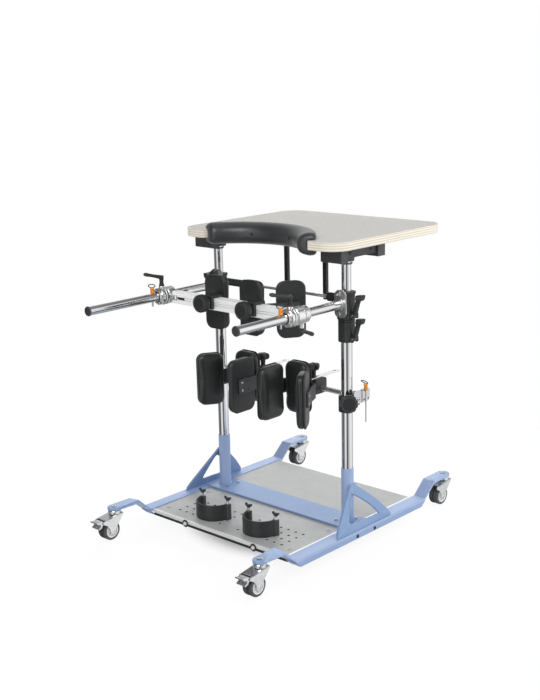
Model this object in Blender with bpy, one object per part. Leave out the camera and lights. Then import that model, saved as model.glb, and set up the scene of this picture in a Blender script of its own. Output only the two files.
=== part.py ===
"""Standing frame: a castor base, two telescopic posts, knee cups, a hip gate and a table.

Metres, +Z up, floor at z = 0, origin under the middle of the overall box. The user stands on the -Y side.
"""

import math

import bmesh
import bpy
from mathutils import Matrix, Vector

GAP = 0.0003  # between pieces that touch or run on each other
WELD = 1e-6
ROUND = 18  # sides of a post
SMALL = 8  # sides of a pin

# Posts. The clamps, arms and hip gate hang at fixed depths under the table
TABLE_TOP = 0.878
POST_X = 0.247
OUTER_R, INNER_R, INNER_BORE = 0.0163, 0.0137, 0.0117
SLEEVE_R, SLEEVE_TOP = 0.0178, 0.218
INNER_FOOT = 0.330
COLLAR, COLLAR_CORNER = 0.042, 0.012
CLAMP_LOW, CLAMP_HIGH = TABLE_TOP - 0.290, TABLE_TOP - 0.225
CARRIER_HIGH = TABLE_TOP - 0.1474

# Base
STEM_X, STEM_Y = 0.291, 0.420
BAR_WIDE, BAR_THICK = 0.040, 0.008
ARM_TOP, RAIL_TOP = 0.093, 0.049
CRANK_TOP_Y, CRANK_FOOT_Y = 0.343, 0.296
FLANGE_LOW, FLANGE_THICK = 0.027, 0.006
LEDGE = 0.016
STEM_R = 0.005
PLATE_THICK, PLATE_FRONT, PLATE_BACK = 0.004, -0.286, 0.278
LIP_LOW, STRIP_LOW = 0.0385, 0.0305
HOLE_R, HOLE_STEP_X, HOLE_STEP_Y = 0.004, 0.028, 0.0305
HOLE_FIRST_X, HOLE_FIRST_Y = 0.0365, -0.1475
HOLE_FIELDS = (((0, 1), (0, 1)), ((4, 5, 6), (0, 1, 2, 3)))  # columns and rows on each side
CROSS_WIDE, CROSS_THICK, CROSS_HALF = 0.095, 0.006, 0.2835
GUSSET_FOOT_X, GUSSET_TOP, GUSSET_THICK = 0.305, 0.165, 0.005
CUP_X, CUP_Y, CUP_R, CUP_WALL, CUP_TALL = 0.0945, -0.200, 0.0555, 0.006, 0.048
WING_TOP = 0.112

# Castors, measured from the stem
TRAIL, WHEEL_R, WHEEL_HALF, AXLE_R = 0.024, 0.029, 0.0165, 0.005
HEAD_R, HEAD_LOW = 0.019, 0.0735
CHEEK_THICK = 0.003
PEDAL_Y, PEDAL_Z, PEDAL_HALF = -0.0545, 0.0600, 0.0160

# Flip levers on the collars
LEVER_OUT, LEVER_WIDE, LEVER_PIN, LEVER_HUB = 0.0275, 0.017, 0.003, 0.0058
CLAMP_LEVER_Z, CARRIER_LEVER_Z = TABLE_TOP - 0.280, TABLE_TOP - 0.214

# Table
TABLE_THICK, TABLE_HALF, TABLE_CORNER = 0.025, 0.300, 0.060
TABLE_FRONT, TABLE_BACK = -0.1075, 0.403
NOTCH_HALF, NOTCH_DEEP = 0.200, 0.120
ROLL_FRONT, ROLL_LIP, ROLL_TALL, ROLL_END = 0.036, 0.020, 0.065, math.radians(59.0)
BRACKET_TALL, BRACKET_IN, BRACKET_OUT = 0.0427, 0.063, 0.012
BRACKET_FRONT, BRACKET_BACK = -0.035, 0.161
STRUT_X, STRUT_Y, STRUT_WIDE, STRUT_DEEP, STRUT_LONG = 0.075, 0.118, 0.015, 0.010, 0.1857

# Arms and hip gate
ARM_Z, ARM_R = TABLE_TOP - 0.181, 0.0128
ARM_PLATE_Y, ARM_PLATE_THICK, ARM_PLATE_WIDE, ARM_PLATE_TALL = -0.0255, 0.0055, 0.041, 0.0785
ARM_END = {"left": -0.510, "right": -0.442}
CAP_R, CAP_LONG = 0.0138, 0.005
ROD_Z, ROD_R = TABLE_TOP - 0.1705, 0.0045
PIN_Y, PIN_R, PIN_TIP = -0.272, 0.003, TABLE_TOP - 0.207
RING_R, RING_FRONT, RING_BACK, SLEEVE_BACK = 0.026, -0.255, -0.200, -0.176
LEVER_Y, LEVER_SEAT, LEVER_TOP = -0.235, TABLE_TOP - 0.1515, TABLE_TOP - 0.1212
RAIL_Y, RAIL_DEEP, RAIL_TALL, RAIL_END = -0.220, 0.030, 0.034, 0.2195
SLOT_WIDE, SLOT_DEEP = 0.008, 0.0035
GATE_X, GATE_PIN, KNUCKLE_R, KNUCKLE_HALF = 0.200, 0.0045, 0.0130, 0.0065
LATCH_Y, LATCH_LOW, LATCH_REACH, LATCH_DROP = -0.189, TABLE_TOP - 0.228, 0.048, 0.020
KNOB_X = {"left": 0.048, "right": 0.112}
KNOB_R, KNOB_FACE, KNOB_Z = 0.025, -0.281, TABLE_TOP - 0.174

# Pads: wide, tall, thick
HIP_PAD, HIP_SIDE_PAD = (0.080, 0.155, 0.029), (0.084, 0.160, 0.030)
HIP_PAD_X, HIP_PAD_Z = 0.0675, TABLE_TOP - 0.1845
HIP_SIDE_X, HIP_SIDE_Y, HIP_SIDE_Z, HIP_SIDE_TURN = 0.142, -0.115, TABLE_TOP - 0.191, math.radians(33.2)
KNEE_FRONT_PAD, KNEE_INNER_PAD = (0.087, 0.155, 0.030), (0.098, 0.160, 0.029)
KNEE_OUTER_PAD = (0.084, 0.159, 0.029)
STRAP, STRAP_LOW = 0.005, 0.413

# Knee unit
KNEE_Y, KNEE_Z, KNEE_R, KNEE_HALF = 0.047, 0.4195, 0.0078, 0.262
KNEE_LOW, KNEE_HIGH = 0.385, 0.432
CUP_KNEE_X, BLOCK_HALF, BLOCK_FRONT, BLOCK_BACK = 0.100, 0.0175, 0.018, 0.068
BLOCK_LOW, BAR_LOW, DEPTH_BAR = 0.405, 0.450, 0.004
STAR_Y, STAR_R, STAR_TOP = 0.029, 0.020, 0.496
DEPTH_BACK, DEPTH_WIDE, DEPTH_SLOT = 0.142, 0.018, 0.0072
KNEE_BACK_Y, KNEE_PAD_Z = -0.0265, 0.4395
MEDIAL_X, MEDIAL_Y, MEDIAL_DROP = 0.061, -0.112, 0.005
LATERAL_X, LATERAL_Y, LATERAL_DROP, LATERAL_TURN = 0.180, -0.115, 0.007, math.radians(32.0)
KNEE_KNOB_R, KNEE_KNOB_SEAT, KNEE_KNOB_TURN = 0.026, 0.0310, math.radians(45.0)
INDEX_Y, INDEX_Z, INDEX_OUT, INDEX_TIP = 0.0335, 0.449, 0.020, 0.353
INDEX_FRONT, INDEX_BACK, INDEX_TALL, INDEX_HOLES = -0.011, 0.061, 0.038, (0.0348, 0.054)

PAINTS = {
    "blue": ((0.30, 0.38, 0.68), 0.0, 0.35),
    "chrome": ((0.72, 0.73, 0.75), 1.0, 0.12),
    "steel": ((0.55, 0.56, 0.58), 1.0, 0.35),
    "black": ((0.015, 0.015, 0.017), 0.0, 0.45),
    "cloth": ((0.020, 0.020, 0.024), 0.0, 0.80),
    "tyre": ((0.040, 0.040, 0.045), 0.0, 0.60),
    "alloy": ((0.62, 0.63, 0.65), 1.0, 0.30),
    "zinc": ((0.50, 0.51, 0.54), 0.6, 0.40),
    "board": ((0.42, 0.43, 0.45), 0.0, 0.50),
    "orange": ((0.80, 0.20, 0.04), 0.0, 0.40),
}

for old in list(bpy.data.objects):
    bpy.data.objects.remove(old, do_unlink=True)


def outward(shape):
    bmesh.ops.recalc_face_normals(shape, faces=shape.faces)
    return shape


def prism(outline, low, high, axis="Z"):
    """An outline pulled along an axis; its two values are the other two axes in order."""
    place = {"X": lambda a, b, h: (h, a, b), "Y": lambda a, b, h: (a, h, b), "Z": lambda a, b, h: (a, b, h)}[axis]
    shape = bmesh.new()
    bottom = [shape.verts.new(place(a, b, low)) for a, b in outline]
    top = [shape.verts.new(place(a, b, high)) for a, b in outline]
    shape.faces.new(bottom)
    shape.faces.new(top)
    for i in range(len(outline)):
        shape.faces.new((bottom[i - 1], bottom[i], top[i], top[i - 1]))
    return outward(shape)


def box(x, y, z):
    """A block between the pairs of limits given."""
    return prism([(x[0], y[0]), (x[1], y[0]), (x[1], y[1]), (x[0], y[1])], z[0], z[1])


def turned(profile, sides, ring=False):
    """A profile of (radius, height) turned round Z; a ring's profile closes on itself off the axis."""
    shape = bmesh.new()
    rows = []
    for radius, height in profile:
        if radius == 0:
            rows.append([shape.verts.new((0, 0, height))] * sides)
            continue
        angles = [2 * math.pi * i / sides for i in range(sides)]
        rows.append([shape.verts.new((radius * math.cos(a), radius * math.sin(a), height)) for a in angles])
    for j in range(len(rows) if ring else len(rows) - 1):
        one, two = rows[j], rows[(j + 1) % len(rows)]
        for i in range(sides):
            corners = list(dict.fromkeys((one[i - 1], one[i], two[i], two[i - 1])))
            if len(corners) > 2:
                shape.faces.new(corners)
    return outward(shape)


def aim(shape, origin, axis=(0, 0, 1)):
    """Moves a shape built round Z so that its axis starts at origin and points along axis."""
    turn = Vector((0, 0, 1)).rotation_difference(Vector(axis)).to_matrix().to_4x4()
    shape.transform(Matrix.Translation(origin) @ turn)
    return shape


def rod(start, end, radius, sides, end_radius=None):
    """A round bar between two points, tapered when the end has its own radius."""
    long = (Vector(end) - Vector(start)).length
    tip = radius if end_radius is None else end_radius
    bar = turned([(0, 0), (radius, 0), (tip, long), (0, long)], sides)
    return aim(bar, start, Vector(end) - Vector(start))


def bore(radius, sides):
    """The radius of a hole that lets a round bar of as many sides turn inside it."""
    return (radius + GAP) / math.cos(math.pi / sides)


def arc(centre, radius, first, last, steps):
    """Points on an arc, angles in degrees."""
    points = []
    for i in range(steps + 1):
        angle = math.radians(first + (last - first) * i / steps)
        points.append((centre[0] + radius * math.cos(angle), centre[1] + radius * math.sin(angle)))
    return points


def rounded(a, b, radius, steps=3):
    """A rectangle between the limits a and b with round corners."""
    points = []
    corners = ((a[1], b[1], 0), (a[0], b[1], 90), (a[0], b[0], 180), (a[1], b[0], 270))
    for x, y, start in corners:
        middle = (x - math.copysign(radius, x - sum(a) / 2), y - math.copysign(radius, y - sum(b) / 2))
        points += arc(middle, radius, start, start + 90, steps)
    return points


def ribbon(path, left, right):
    """The outline of a bent strip that reaches left and right of its path, with mitred bends."""
    sides = []
    for reach in (left, -right):
        row = []
        for i, point in enumerate(path):
            before = Vector(path[max(i - 1, 0)])
            after = Vector(path[min(i + 1, len(path) - 1)])
            here = Vector(point)
            first = (here - before).normalized() if i else (after - here).normalized()
            second = (after - here).normalized() if i < len(path) - 1 else first
            normal = Vector((-first.y - second.y, first.x + second.x)).normalized()
            row.append(tuple(here + normal * reach / normal.dot(Vector((-first.y, first.x)))))
        sides.append(row)
    return sides[0] + sides[1][::-1]


def lobed(radius, lobes, depth, per_lobe):
    """A knob's outline with grip hollows."""
    count = lobes * per_lobe
    points = []
    for i in range(count):
        angle = 2 * math.pi * i / count
        reach = radius - depth * (0.5 - 0.5 * math.cos(lobes * angle))
        points.append((reach * math.cos(angle), reach * math.sin(angle)))
    return points


def stage_object(name, shape):
    mesh = bpy.data.meshes.new(name)
    shape.to_mesh(mesh)
    shape.free()
    obj = bpy.data.objects.new(name, mesh)
    bpy.context.scene.collection.objects.link(obj)
    return obj


def combine(first, second, how):
    """The exact union, difference or intersection of two closed shapes."""
    base, tool = stage_object("base", first), stage_object("tool", second)
    change = base.modifiers.new("change", "BOOLEAN")
    change.operation = how
    change.solver = "EXACT"
    change.object = tool
    bpy.context.view_layer.update()
    done = bmesh.new()
    done.from_object(base, bpy.context.evaluated_depsgraph_get())
    for obj in (base, tool):
        mesh = obj.data
        bpy.data.objects.remove(obj, do_unlink=True)
        bpy.data.meshes.remove(mesh)
    bmesh.ops.remove_doubles(done, verts=done.verts, dist=WELD)
    bmesh.ops.dissolve_degenerate(done, edges=done.edges, dist=WELD)
    return done


def join(first, *others):
    for other in others:
        first = combine(first, other, "UNION")
    return first


def cut(first, *others):
    for other in others:
        first = combine(first, other, "DIFFERENCE")
    return first


def gather(shapes):
    """Several separate shapes in one mesh, to use as one cutter."""
    whole = bmesh.new()
    for shape in shapes:
        mesh = bpy.data.meshes.new("loose")
        shape.to_mesh(mesh)
        shape.free()
        whole.from_mesh(mesh)
        bpy.data.meshes.remove(mesh)
    return whole


def flip(shape, side):
    """Mirrors a shape built on the right when it belongs on the left."""
    if side == "left":
        bmesh.ops.scale(shape, vec=(-1, 1, 1), verts=shape.verts)
        bmesh.ops.reverse_faces(shape, faces=shape.faces)
    return shape


def paint(kind):
    if kind not in bpy.data.materials:
        colour, metal, rough = PAINTS[kind]
        made = bpy.data.materials.new(kind)
        made.use_nodes = True
        shader = made.node_tree.nodes["Principled BSDF"]
        shader.inputs["Base Color"].default_value = (*colour, 1)
        shader.inputs["Metallic"].default_value = metal
        shader.inputs["Roughness"].default_value = rough
    return bpy.data.materials[kind]


def solid(name, shape, kind, origin=(0, 0, 0)):
    """Names a shape as a piece of the part, with its origin on its joint."""
    outward(shape)
    bmesh.ops.translate(shape, vec=-Vector(origin), verts=shape.verts)
    obj = stage_object(name, shape)
    obj.location = Vector(origin) + Vector((0, POST_Y, 0))
    obj.data.materials.append(paint(kind))
    return obj


def mirrored_x(side, x):
    return -x if side == "left" else x


# The lengths above are measured from the posts; the finished part is centred on its overall length.
POST_Y = -(min(ARM_END.values()) + STEM_Y + BAR_WIDE / 2) / 2

# Base frame, plate and heel cups
PLATE_TOP = RAIL_TOP - GAP
PLATE_LOW = PLATE_TOP - PLATE_THICK
CROSS_LOW = RAIL_TOP + GAP
CROSS_TOP = CROSS_LOW + CROSS_THICK


def side_frame(side):
    """The rail with its cranked castor arms, the leaning gusset and the post's sleeve, welded together."""
    end = STEM_Y + BAR_WIDE / 2
    path = [(-end, ARM_TOP), (-CRANK_TOP_Y, ARM_TOP), (-CRANK_FOOT_Y, RAIL_TOP)]
    path += [(-y, z) for y, z in path[::-1]]
    inner, outer = STEM_X - BAR_WIDE / 2, STEM_X + BAR_WIDE / 2
    bar = prism(ribbon(path, 0, BAR_THICK), inner, outer, "X")
    plan = arc((STEM_X, STEM_Y), BAR_WIDE / 2, 0, 180, 8) + arc((STEM_X, -STEM_Y), BAR_WIDE / 2, 180, 360, 8)
    bar = combine(bar, prism(plan, 0, 2 * ARM_TOP), "INTERSECT")
    slope = (CRANK_TOP_Y - CRANK_FOOT_Y) / (ARM_TOP - RAIL_TOP)
    behind = CRANK_FOOT_Y - (RAIL_TOP - FLANGE_LOW) * slope
    before = behind + BAR_THICK * math.hypot(1, slope)
    lean_back = (RAIL_TOP - BAR_THICK / 2 - FLANGE_LOW) * slope
    shut = [(behind, FLANGE_LOW), (before, FLANGE_LOW), (before + lean_back, RAIL_TOP - BAR_THICK / 2)]
    shut += [(behind + lean_back, RAIL_TOP - BAR_THICK / 2)]
    ends = [prism([(sign * y, z) for y, z in shut], inner, outer, "X") for sign in (-1, 1)]
    foot, top = (behind + before) / 2, (behind + before) / 2 + lean_back
    flange = prism([(-foot, FLANGE_LOW), (foot, FLANGE_LOW), (top, RAIL_TOP - BAR_THICK / 2), (-top, RAIL_TOP - BAR_THICK / 2)],
                   outer - FLANGE_THICK, outer, "X")
    ledge_top = PLATE_LOW - GAP
    ledge = box((inner - LEDGE, inner + BAR_THICK), (-0.26, 0.26), (ledge_top - FLANGE_THICK, ledge_top))
    frame = join(bar, flange, ledge, *ends)

    top_x = POST_X + SLEEVE_R
    rise = Vector((top_x - GUSSET_FOOT_X, 0, GUSSET_TOP - RAIL_TOP)).normalized()
    long = (GUSSET_TOP - RAIL_TOP) / rise.z
    outline = [(-0.118, -0.005), (0.126, -0.005), (0.126, 0.010), (0.110, 0.030), (0.088, 0.055), (0.060, 0.082)]
    outline += [(0.034, 0.104), (0.015, long), (0.013, long + 0.008), (-0.013, long + 0.008), (-0.017, long)]
    outline += [(-0.118, 0.012)]
    window = [(-0.062, 0.026), (0.074, 0.020), (0.078, 0.025), (0.060, 0.046), (0.034, 0.071), (0.004, 0.094)]
    window += [(-0.014, 0.104), (-0.021, 0.100)]
    plate = cut(prism(outline, -GUSSET_THICK / 2, GUSSET_THICK / 2), prism(window, -0.02, 0.02))
    across = Vector((0, 1, 0))
    facing = across.cross(rise)
    lean = Matrix((across, rise, facing)).transposed().to_4x4()
    plate.transform(Matrix.Translation((GUSSET_FOOT_X, 0, RAIL_TOP)) @ lean)

    sleeve = rod((POST_X, 0, CROSS_TOP + GAP), (POST_X, 0, SLEEVE_TOP), SLEEVE_R, ROUND)
    frame = join(frame, plate, sleeve)
    hole = rod((POST_X, 0, RAIL_TOP), (POST_X, 0, SLEEVE_TOP + 0.02), OUTER_R + GAP, ROUND)
    stems = [rod((STEM_X, y, 0), (STEM_X, y, 0.12), bore(STEM_R, SMALL), SMALL) for y in (-STEM_Y, STEM_Y)]
    return cut(frame, hole, *stems)


for side in ("left", "right"):
    solid("side_frame_" + side, flip(side_frame(side), side), "blue")

cross = prism(rounded((-CROSS_HALF, CROSS_HALF), (-CROSS_WIDE / 2, CROSS_WIDE / 2), 0.004, 2), CROSS_LOW, CROSS_TOP)
solid("cross_bar", cross, "blue")

plate_half = STEM_X - BAR_WIDE / 2 - GAP
folded = [(PLATE_BACK, PLATE_LOW), (PLATE_BACK, PLATE_TOP), (PLATE_FRONT, PLATE_TOP), (PLATE_FRONT, LIP_LOW)]
folded += [(PLATE_FRONT - 0.002, LIP_LOW), (PLATE_FRONT - 0.002, STRIP_LOW), (PLATE_FRONT + 0.008, STRIP_LOW)]
folded += [(PLATE_FRONT + 0.008, LIP_LOW), (PLATE_FRONT + PLATE_THICK, LIP_LOW), (PLATE_FRONT + PLATE_THICK, PLATE_LOW)]
plate = prism(folded, -plate_half, plate_half, "X")
punches = []
for columns, rows in HOLE_FIELDS:
    for column, row in ((column, row) for column in columns for row in rows):
        y = HOLE_FIRST_Y - row * HOLE_STEP_Y
        for x in (-HOLE_FIRST_X - column * HOLE_STEP_X, HOLE_FIRST_X + column * HOLE_STEP_X):
            punches.append(rod((x, y, 0), (x, y, 0.08), HOLE_R, 6))
solid("footplate", cut(plate, gather(punches)), "steel")


def heel_cup():
    """A half-round cup with a wing screw standing on the end of each arm."""
    low, high = PLATE_TOP + GAP, PLATE_TOP + GAP + CUP_TALL
    inner = CUP_R - CUP_WALL
    outline = arc((CUP_X, CUP_Y), CUP_R, 180, 360, 12) + [(CUP_X + CUP_R, CUP_Y + 0.010)]
    outline += [(CUP_X + inner, CUP_Y + 0.010)] + arc((CUP_X, CUP_Y), inner, 360, 180, 12)
    outline += [(CUP_X - inner, CUP_Y + 0.010), (CUP_X - CUP_R, CUP_Y + 0.010)]
    cup = prism(outline, low, high)
    for x in (CUP_X - CUP_R + CUP_WALL / 2, CUP_X + CUP_R - CUP_WALL / 2):
        profile = [(0, low), (0.0095, low), (0.0095, high - 0.002), (0.0045, high + 0.002), (0.0045, WING_TOP - 0.008)]
        profile += [(0, WING_TOP - 0.008)]
        boss = aim(turned(profile, SMALL), (x, CUP_Y + 0.002, 0))
        wing = prism([(-0.010, WING_TOP), (-0.011, WING_TOP - 0.008), (-0.003, high), (0.003, high),
                      (0.011, WING_TOP - 0.008), (0.010, WING_TOP), (0.004, WING_TOP - 0.006), (-0.004, WING_TOP - 0.006)],
                     -0.0022, 0.0022, "Y")
        cup = join(cup, boss, aim(wing, (x, CUP_Y + 0.002, 0)))
    return cup


for side in ("left", "right"):
    solid("heel_cup_" + side, flip(heel_cup(), side), "black")


# Castors
def fork(braked):
    """The swivel head with its stem, the slanting hood, two cheeks and the axle."""
    under = ARM_TOP - BAR_THICK - GAP
    head = turned([(0, HEAD_LOW), (HEAD_R, HEAD_LOW), (HEAD_R, under - 0.002), (HEAD_R - 0.003, under), (STEM_R, under),
                   (STEM_R, ARM_TOP - GAP), (0, ARM_TOP - GAP)], 12)
    outside = WHEEL_HALF + GAP + CHEEK_THICK + 0.0004
    back, front = 0.017, -0.0485
    hood = [(back, 0.0755), (front, 0.0665), (front, 0.0635), (back, 0.0722)]
    body = join(head, prism(hood, -outside, outside, "X"))
    cheek = [(back, 0.0755), (front - 0.0105, 0.0650), (front - 0.0105, 0.0560), (-0.042, 0.047), (-0.0335, 0.033)]
    cheek += arc((-TRAIL, WHEEL_R), 0.010, 190, 350, 4) + [(-0.010, 0.040), (0.010, 0.062)]
    for sign in (-1, 1):
        ends = sorted((sign * outside, sign * (outside - CHEEK_THICK)))
        body = join(body, prism(cheek, ends[0], ends[1], "X"))
    axle = rod((-outside - 0.001, -TRAIL, WHEEL_R), (outside + 0.001, -TRAIL, WHEEL_R), AXLE_R, SMALL)
    body = join(body, axle)
    if braked:
        pin = rod((-outside, PEDAL_Y, PEDAL_Z), (outside, PEDAL_Y, PEDAL_Z), 0.002, SMALL)
        body = join(body, pin)
    return body


def wheel():
    """Two tyres on one hub, turned round the axle."""
    half, hole = WHEEL_HALF, bore(AXLE_R, SMALL)
    profile = [(hole, -half), (0.018, -half), (WHEEL_R - 0.002, -half + 0.001), (WHEEL_R, -half + 0.004)]
    profile += [(WHEEL_R, -0.004), (0.018, -0.0025)]
    profile += [(radius, -height) for radius, height in profile[::-1]]
    return aim(turned(profile, ROUND, ring=True), (0, -TRAIL, WHEEL_R), (1, 0, 0))


def pedal():
    """The brake pedal: an upper tab with a curled lip and a broad lower tab."""
    y, z = PEDAL_Y, PEDAL_Z
    outline = arc((y, z), 0.0042, 0, 120, 4) + [(-0.066, 0.0650), (-0.077, 0.0665), (-0.0795, 0.0640), (-0.0765, 0.0625)]
    outline += [(-0.0665, 0.0595), (-0.0655, 0.0530), (-0.0745, 0.0475), (-0.0725, 0.0445), (-0.0620, 0.0480)]
    outline += [(-0.0585, 0.0545)] + arc((y, z), 0.0042, 270, 340, 2)
    plate = prism(outline, -PEDAL_HALF, PEDAL_HALF, "X")
    hole = bore(0.002, SMALL)
    return cut(plate, rod((-0.03, y, z), (0.03, y, z), hole, SMALL))


for place, sign in (("front", -1), ("rear", 1)):
    for side in ("left", "right"):
        spot = (mirrored_x(side, STEM_X), sign * STEM_Y, 0)
        tag = place + "_" + side
        solid("castor_fork_" + tag, aim(fork(place == "front"), spot), "zinc", spot)
        hub = (spot[0], spot[1] - TRAIL, WHEEL_R)
        solid("castor_wheel_" + tag, aim(wheel(), spot), "tyre", hub)
        if place == "front":
            pivot = (spot[0], spot[1] + PEDAL_Y, PEDAL_Z)
            solid("brake_pedal_" + side, aim(pedal(), spot), "zinc", pivot)


# Posts, collars and their flip levers
def collar(low, high, hole, lever_z=None, reach=0.0):
    """A clamp collar round the right post, with lugs and a pin for a flip lever."""
    half = COLLAR / 2
    outline = rounded((POST_X - half, POST_X + half), (-half - reach, half), COLLAR_CORNER)
    body = prism(outline, low, high)
    if lever_z is not None:
        inside = LEVER_WIDE / 2 + GAP
        for sign in (-1, 1):
            ends = sorted((sign * inside, sign * (inside + 0.0035)))
            lug = rounded((POST_X + half - 0.006, POST_X + LEVER_OUT + 0.0055), (lever_z - 0.0085, lever_z + 0.0085), 0.004, 2)
            body = join(body, prism(lug, ends[0], ends[1], "Y"))
        pin = rod((POST_X + LEVER_OUT, -inside - 0.003, lever_z), (POST_X + LEVER_OUT, inside + 0.003, lever_z), LEVER_PIN, SMALL)
        body = join(body, pin)
    return cut(body, rod((POST_X, 0, low - 0.01), (POST_X, 0, high + 0.01), hole, ROUND))


def flip_lever(lever_z):
    """A wing lever that leans out from its collar."""
    x, z = POST_X + LEVER_OUT, lever_z
    blade = [(-0.0045, 0.000), (-0.0015, 0.012), (0.0085, 0.042), (0.0120, 0.0595), (0.0330, 0.0610), (0.0335, 0.0570)]
    blade += [(0.0210, 0.0480), (0.0130, 0.0240), (0.0055, 0.000)]
    half = LEVER_WIDE / 2
    wing = prism([(x + a, z + b) for a, b in blade], -half, half, "Y")
    hub = rod((x, -half, z), (x, half, z), LEVER_HUB, 10)
    return cut(join(hub, wing), rod((x, -0.03, z), (x, 0.03, z), bore(LEVER_PIN, SMALL), SMALL))


def outer_post():
    """The fixed chrome tube with the height clamp on its top."""
    foot = CROSS_TOP + 2 * GAP
    tube = rod((POST_X, 0, foot), (POST_X, 0, CLAMP_LOW + 0.02), OUTER_R, ROUND)
    clamp = collar(CLAMP_LOW, CLAMP_HIGH - GAP, INNER_R + GAP, CLAMP_LEVER_Z)
    post = join(clamp, tube)
    return cut(post, rod((POST_X, 0, 0), (POST_X, 0, 1), INNER_R + GAP, ROUND))


for side in ("left", "right"):
    pivot_x = mirrored_x(side, POST_X + LEVER_OUT)
    solid("outer_post_" + side, flip(outer_post(), side), "chrome")
    solid("height_lever_" + side, flip(flip_lever(CLAMP_LEVER_Z), side), "black", (pivot_x, 0, CLAMP_LEVER_Z))
    solid("carrier_lever_" + side, flip(flip_lever(CARRIER_LEVER_Z), side), "black", (pivot_x, 0, CARRIER_LEVER_Z))

# Table
TABLE_LOW = TABLE_TOP - TABLE_THICK
BRACKET_TOP = TABLE_LOW - GAP
BRACKET_LOW = BRACKET_TOP - BRACKET_TALL
NOTCH_R = (NOTCH_HALF**2 + NOTCH_DEEP**2) / (2 * NOTCH_DEEP)
NOTCH_Y = TABLE_FRONT + NOTCH_DEEP - NOTCH_R


def inner_post(x):
    """The sliding tube with the table bracket on its top; both brackets face the same way."""
    front, back = BRACKET_FRONT, BRACKET_BACK
    left, right = x - BRACKET_IN, x + BRACKET_OUT
    block = prism(rounded((left, right), (front, back), 0.005, 2), BRACKET_LOW, BRACKET_TOP)
    recess = box((right - 0.007, right + 0.02), (front + 0.0285, back - 0.033), (BRACKET_LOW - 0.02, BRACKET_TOP - 0.008))
    step = box((left - 0.02, right + 0.02), (0.030, back - 0.033), (BRACKET_LOW - 0.02, BRACKET_LOW + 0.010))
    block = cut(block, recess, step)
    tube = rod((x, 0, INNER_FOOT), (x, 0, BRACKET_LOW + 0.02), INNER_R, ROUND)
    hollow = rod((x, 0, INNER_FOOT - 0.01), (x, 0, BRACKET_LOW + 0.012), INNER_BORE, ROUND)
    return cut(join(block, tube), hollow)


for side in ("left", "right"):
    solid("inner_post_" + side, inner_post(mirrored_x(side, POST_X)), "chrome")


def table_outline():
    """The board's edge: round corners and the notch for the user's body."""
    corner, half = TABLE_CORNER, TABLE_HALF
    points = arc((half - corner, TABLE_BACK - corner), corner, 0, 90, 6)
    points += arc((corner - half, TABLE_BACK - corner), corner, 90, 180, 6)
    points += arc((corner - half, TABLE_FRONT + corner), corner, 180, 270, 6)
    sweep = math.degrees(math.asin(NOTCH_HALF / NOTCH_R))
    return points + arc((0, NOTCH_Y), NOTCH_R, 90 + sweep, 90 - sweep, 24) + \
        arc((half - corner, TABLE_FRONT + corner), corner, 270, 360, 6)


solid("table_top", prism(table_outline(), TABLE_LOW, TABLE_TOP), "board")


def edge_roll():
    """The soft roll slipped over the notch's edge: a C section spun along the notch, drawn in at its ends."""
    middle, half = (TABLE_TOP + TABLE_LOW) / 2, ROLL_TALL / 2
    slot = TABLE_THICK / 2 + GAP
    mouth, floor = NOTCH_R + ROLL_LIP, NOTCH_R - GAP
    upper = [(0.0, half * 0.62), (0.0005, half * 0.80), (-0.005, half * 0.94), (-0.017, half), (-0.030, half * 0.97)]
    upper += [(-0.041, half * 0.86), (-0.0495, half * 0.66), (-0.0545, half * 0.40), (-0.056, half * 0.13)]
    section = [(mouth, slot)] + [(mouth + a * (ROLL_FRONT + ROLL_LIP) / 0.056, b) for a, b in upper]
    section += [(radius, -height) for radius, height in section[::-1]]
    section += [(floor, -slot), (floor, slot)]
    steps = 17
    turns = [(-ROLL_END, 0.35), (-ROLL_END * 0.985, 0.70), (-ROLL_END * 0.955, 0.92)]
    inside = ROLL_END * 0.915
    turns += [(-inside + 2 * inside * i / steps, 1.0) for i in range(steps + 1)]
    turns += [(-angle, size) for angle, size in turns[2::-1]]
    shape = bmesh.new()
    rows = []
    for angle, size in turns:
        row = []
        for radius, height in section:
            lip = max(min(height, slot), -slot)
            near = radius if radius > floor else floor
            reach, tall = near + (radius - near) * size, lip + (height - lip) * size
            row.append(shape.verts.new((reach * math.sin(angle), NOTCH_Y + reach * math.cos(angle), middle + tall)))
        rows.append(row)
    for one, two in zip(rows, rows[1:]):
        for i in range(len(section)):
            shape.faces.new((one[i - 1], one[i], two[i], two[i - 1]))
    shape.faces.new(rows[0])
    shape.faces.new(rows[-1])
    return shape


solid("table_edge_roll", edge_roll(), "cloth")


def strut_hanger():
    """A bar under the board with two hanging struts."""
    top, half, lap = TABLE_LOW - GAP, STRUT_WIDE / 2, 0.014
    foot = top - STRUT_LONG + half
    outline = [(-STRUT_X - half, top)] + arc((-STRUT_X, foot), half, 180, 360, 6)
    outline += [(-STRUT_X + half, top - lap), (STRUT_X - half, top - lap)]
    outline += arc((STRUT_X, foot), half, 180, 360, 6) + [(STRUT_X + half, top)]
    return prism(outline, STRUT_Y - STRUT_DEEP / 2, STRUT_Y + STRUT_DEEP / 2, "Y")


solid("strut_hanger", strut_hanger(), "black")


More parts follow.
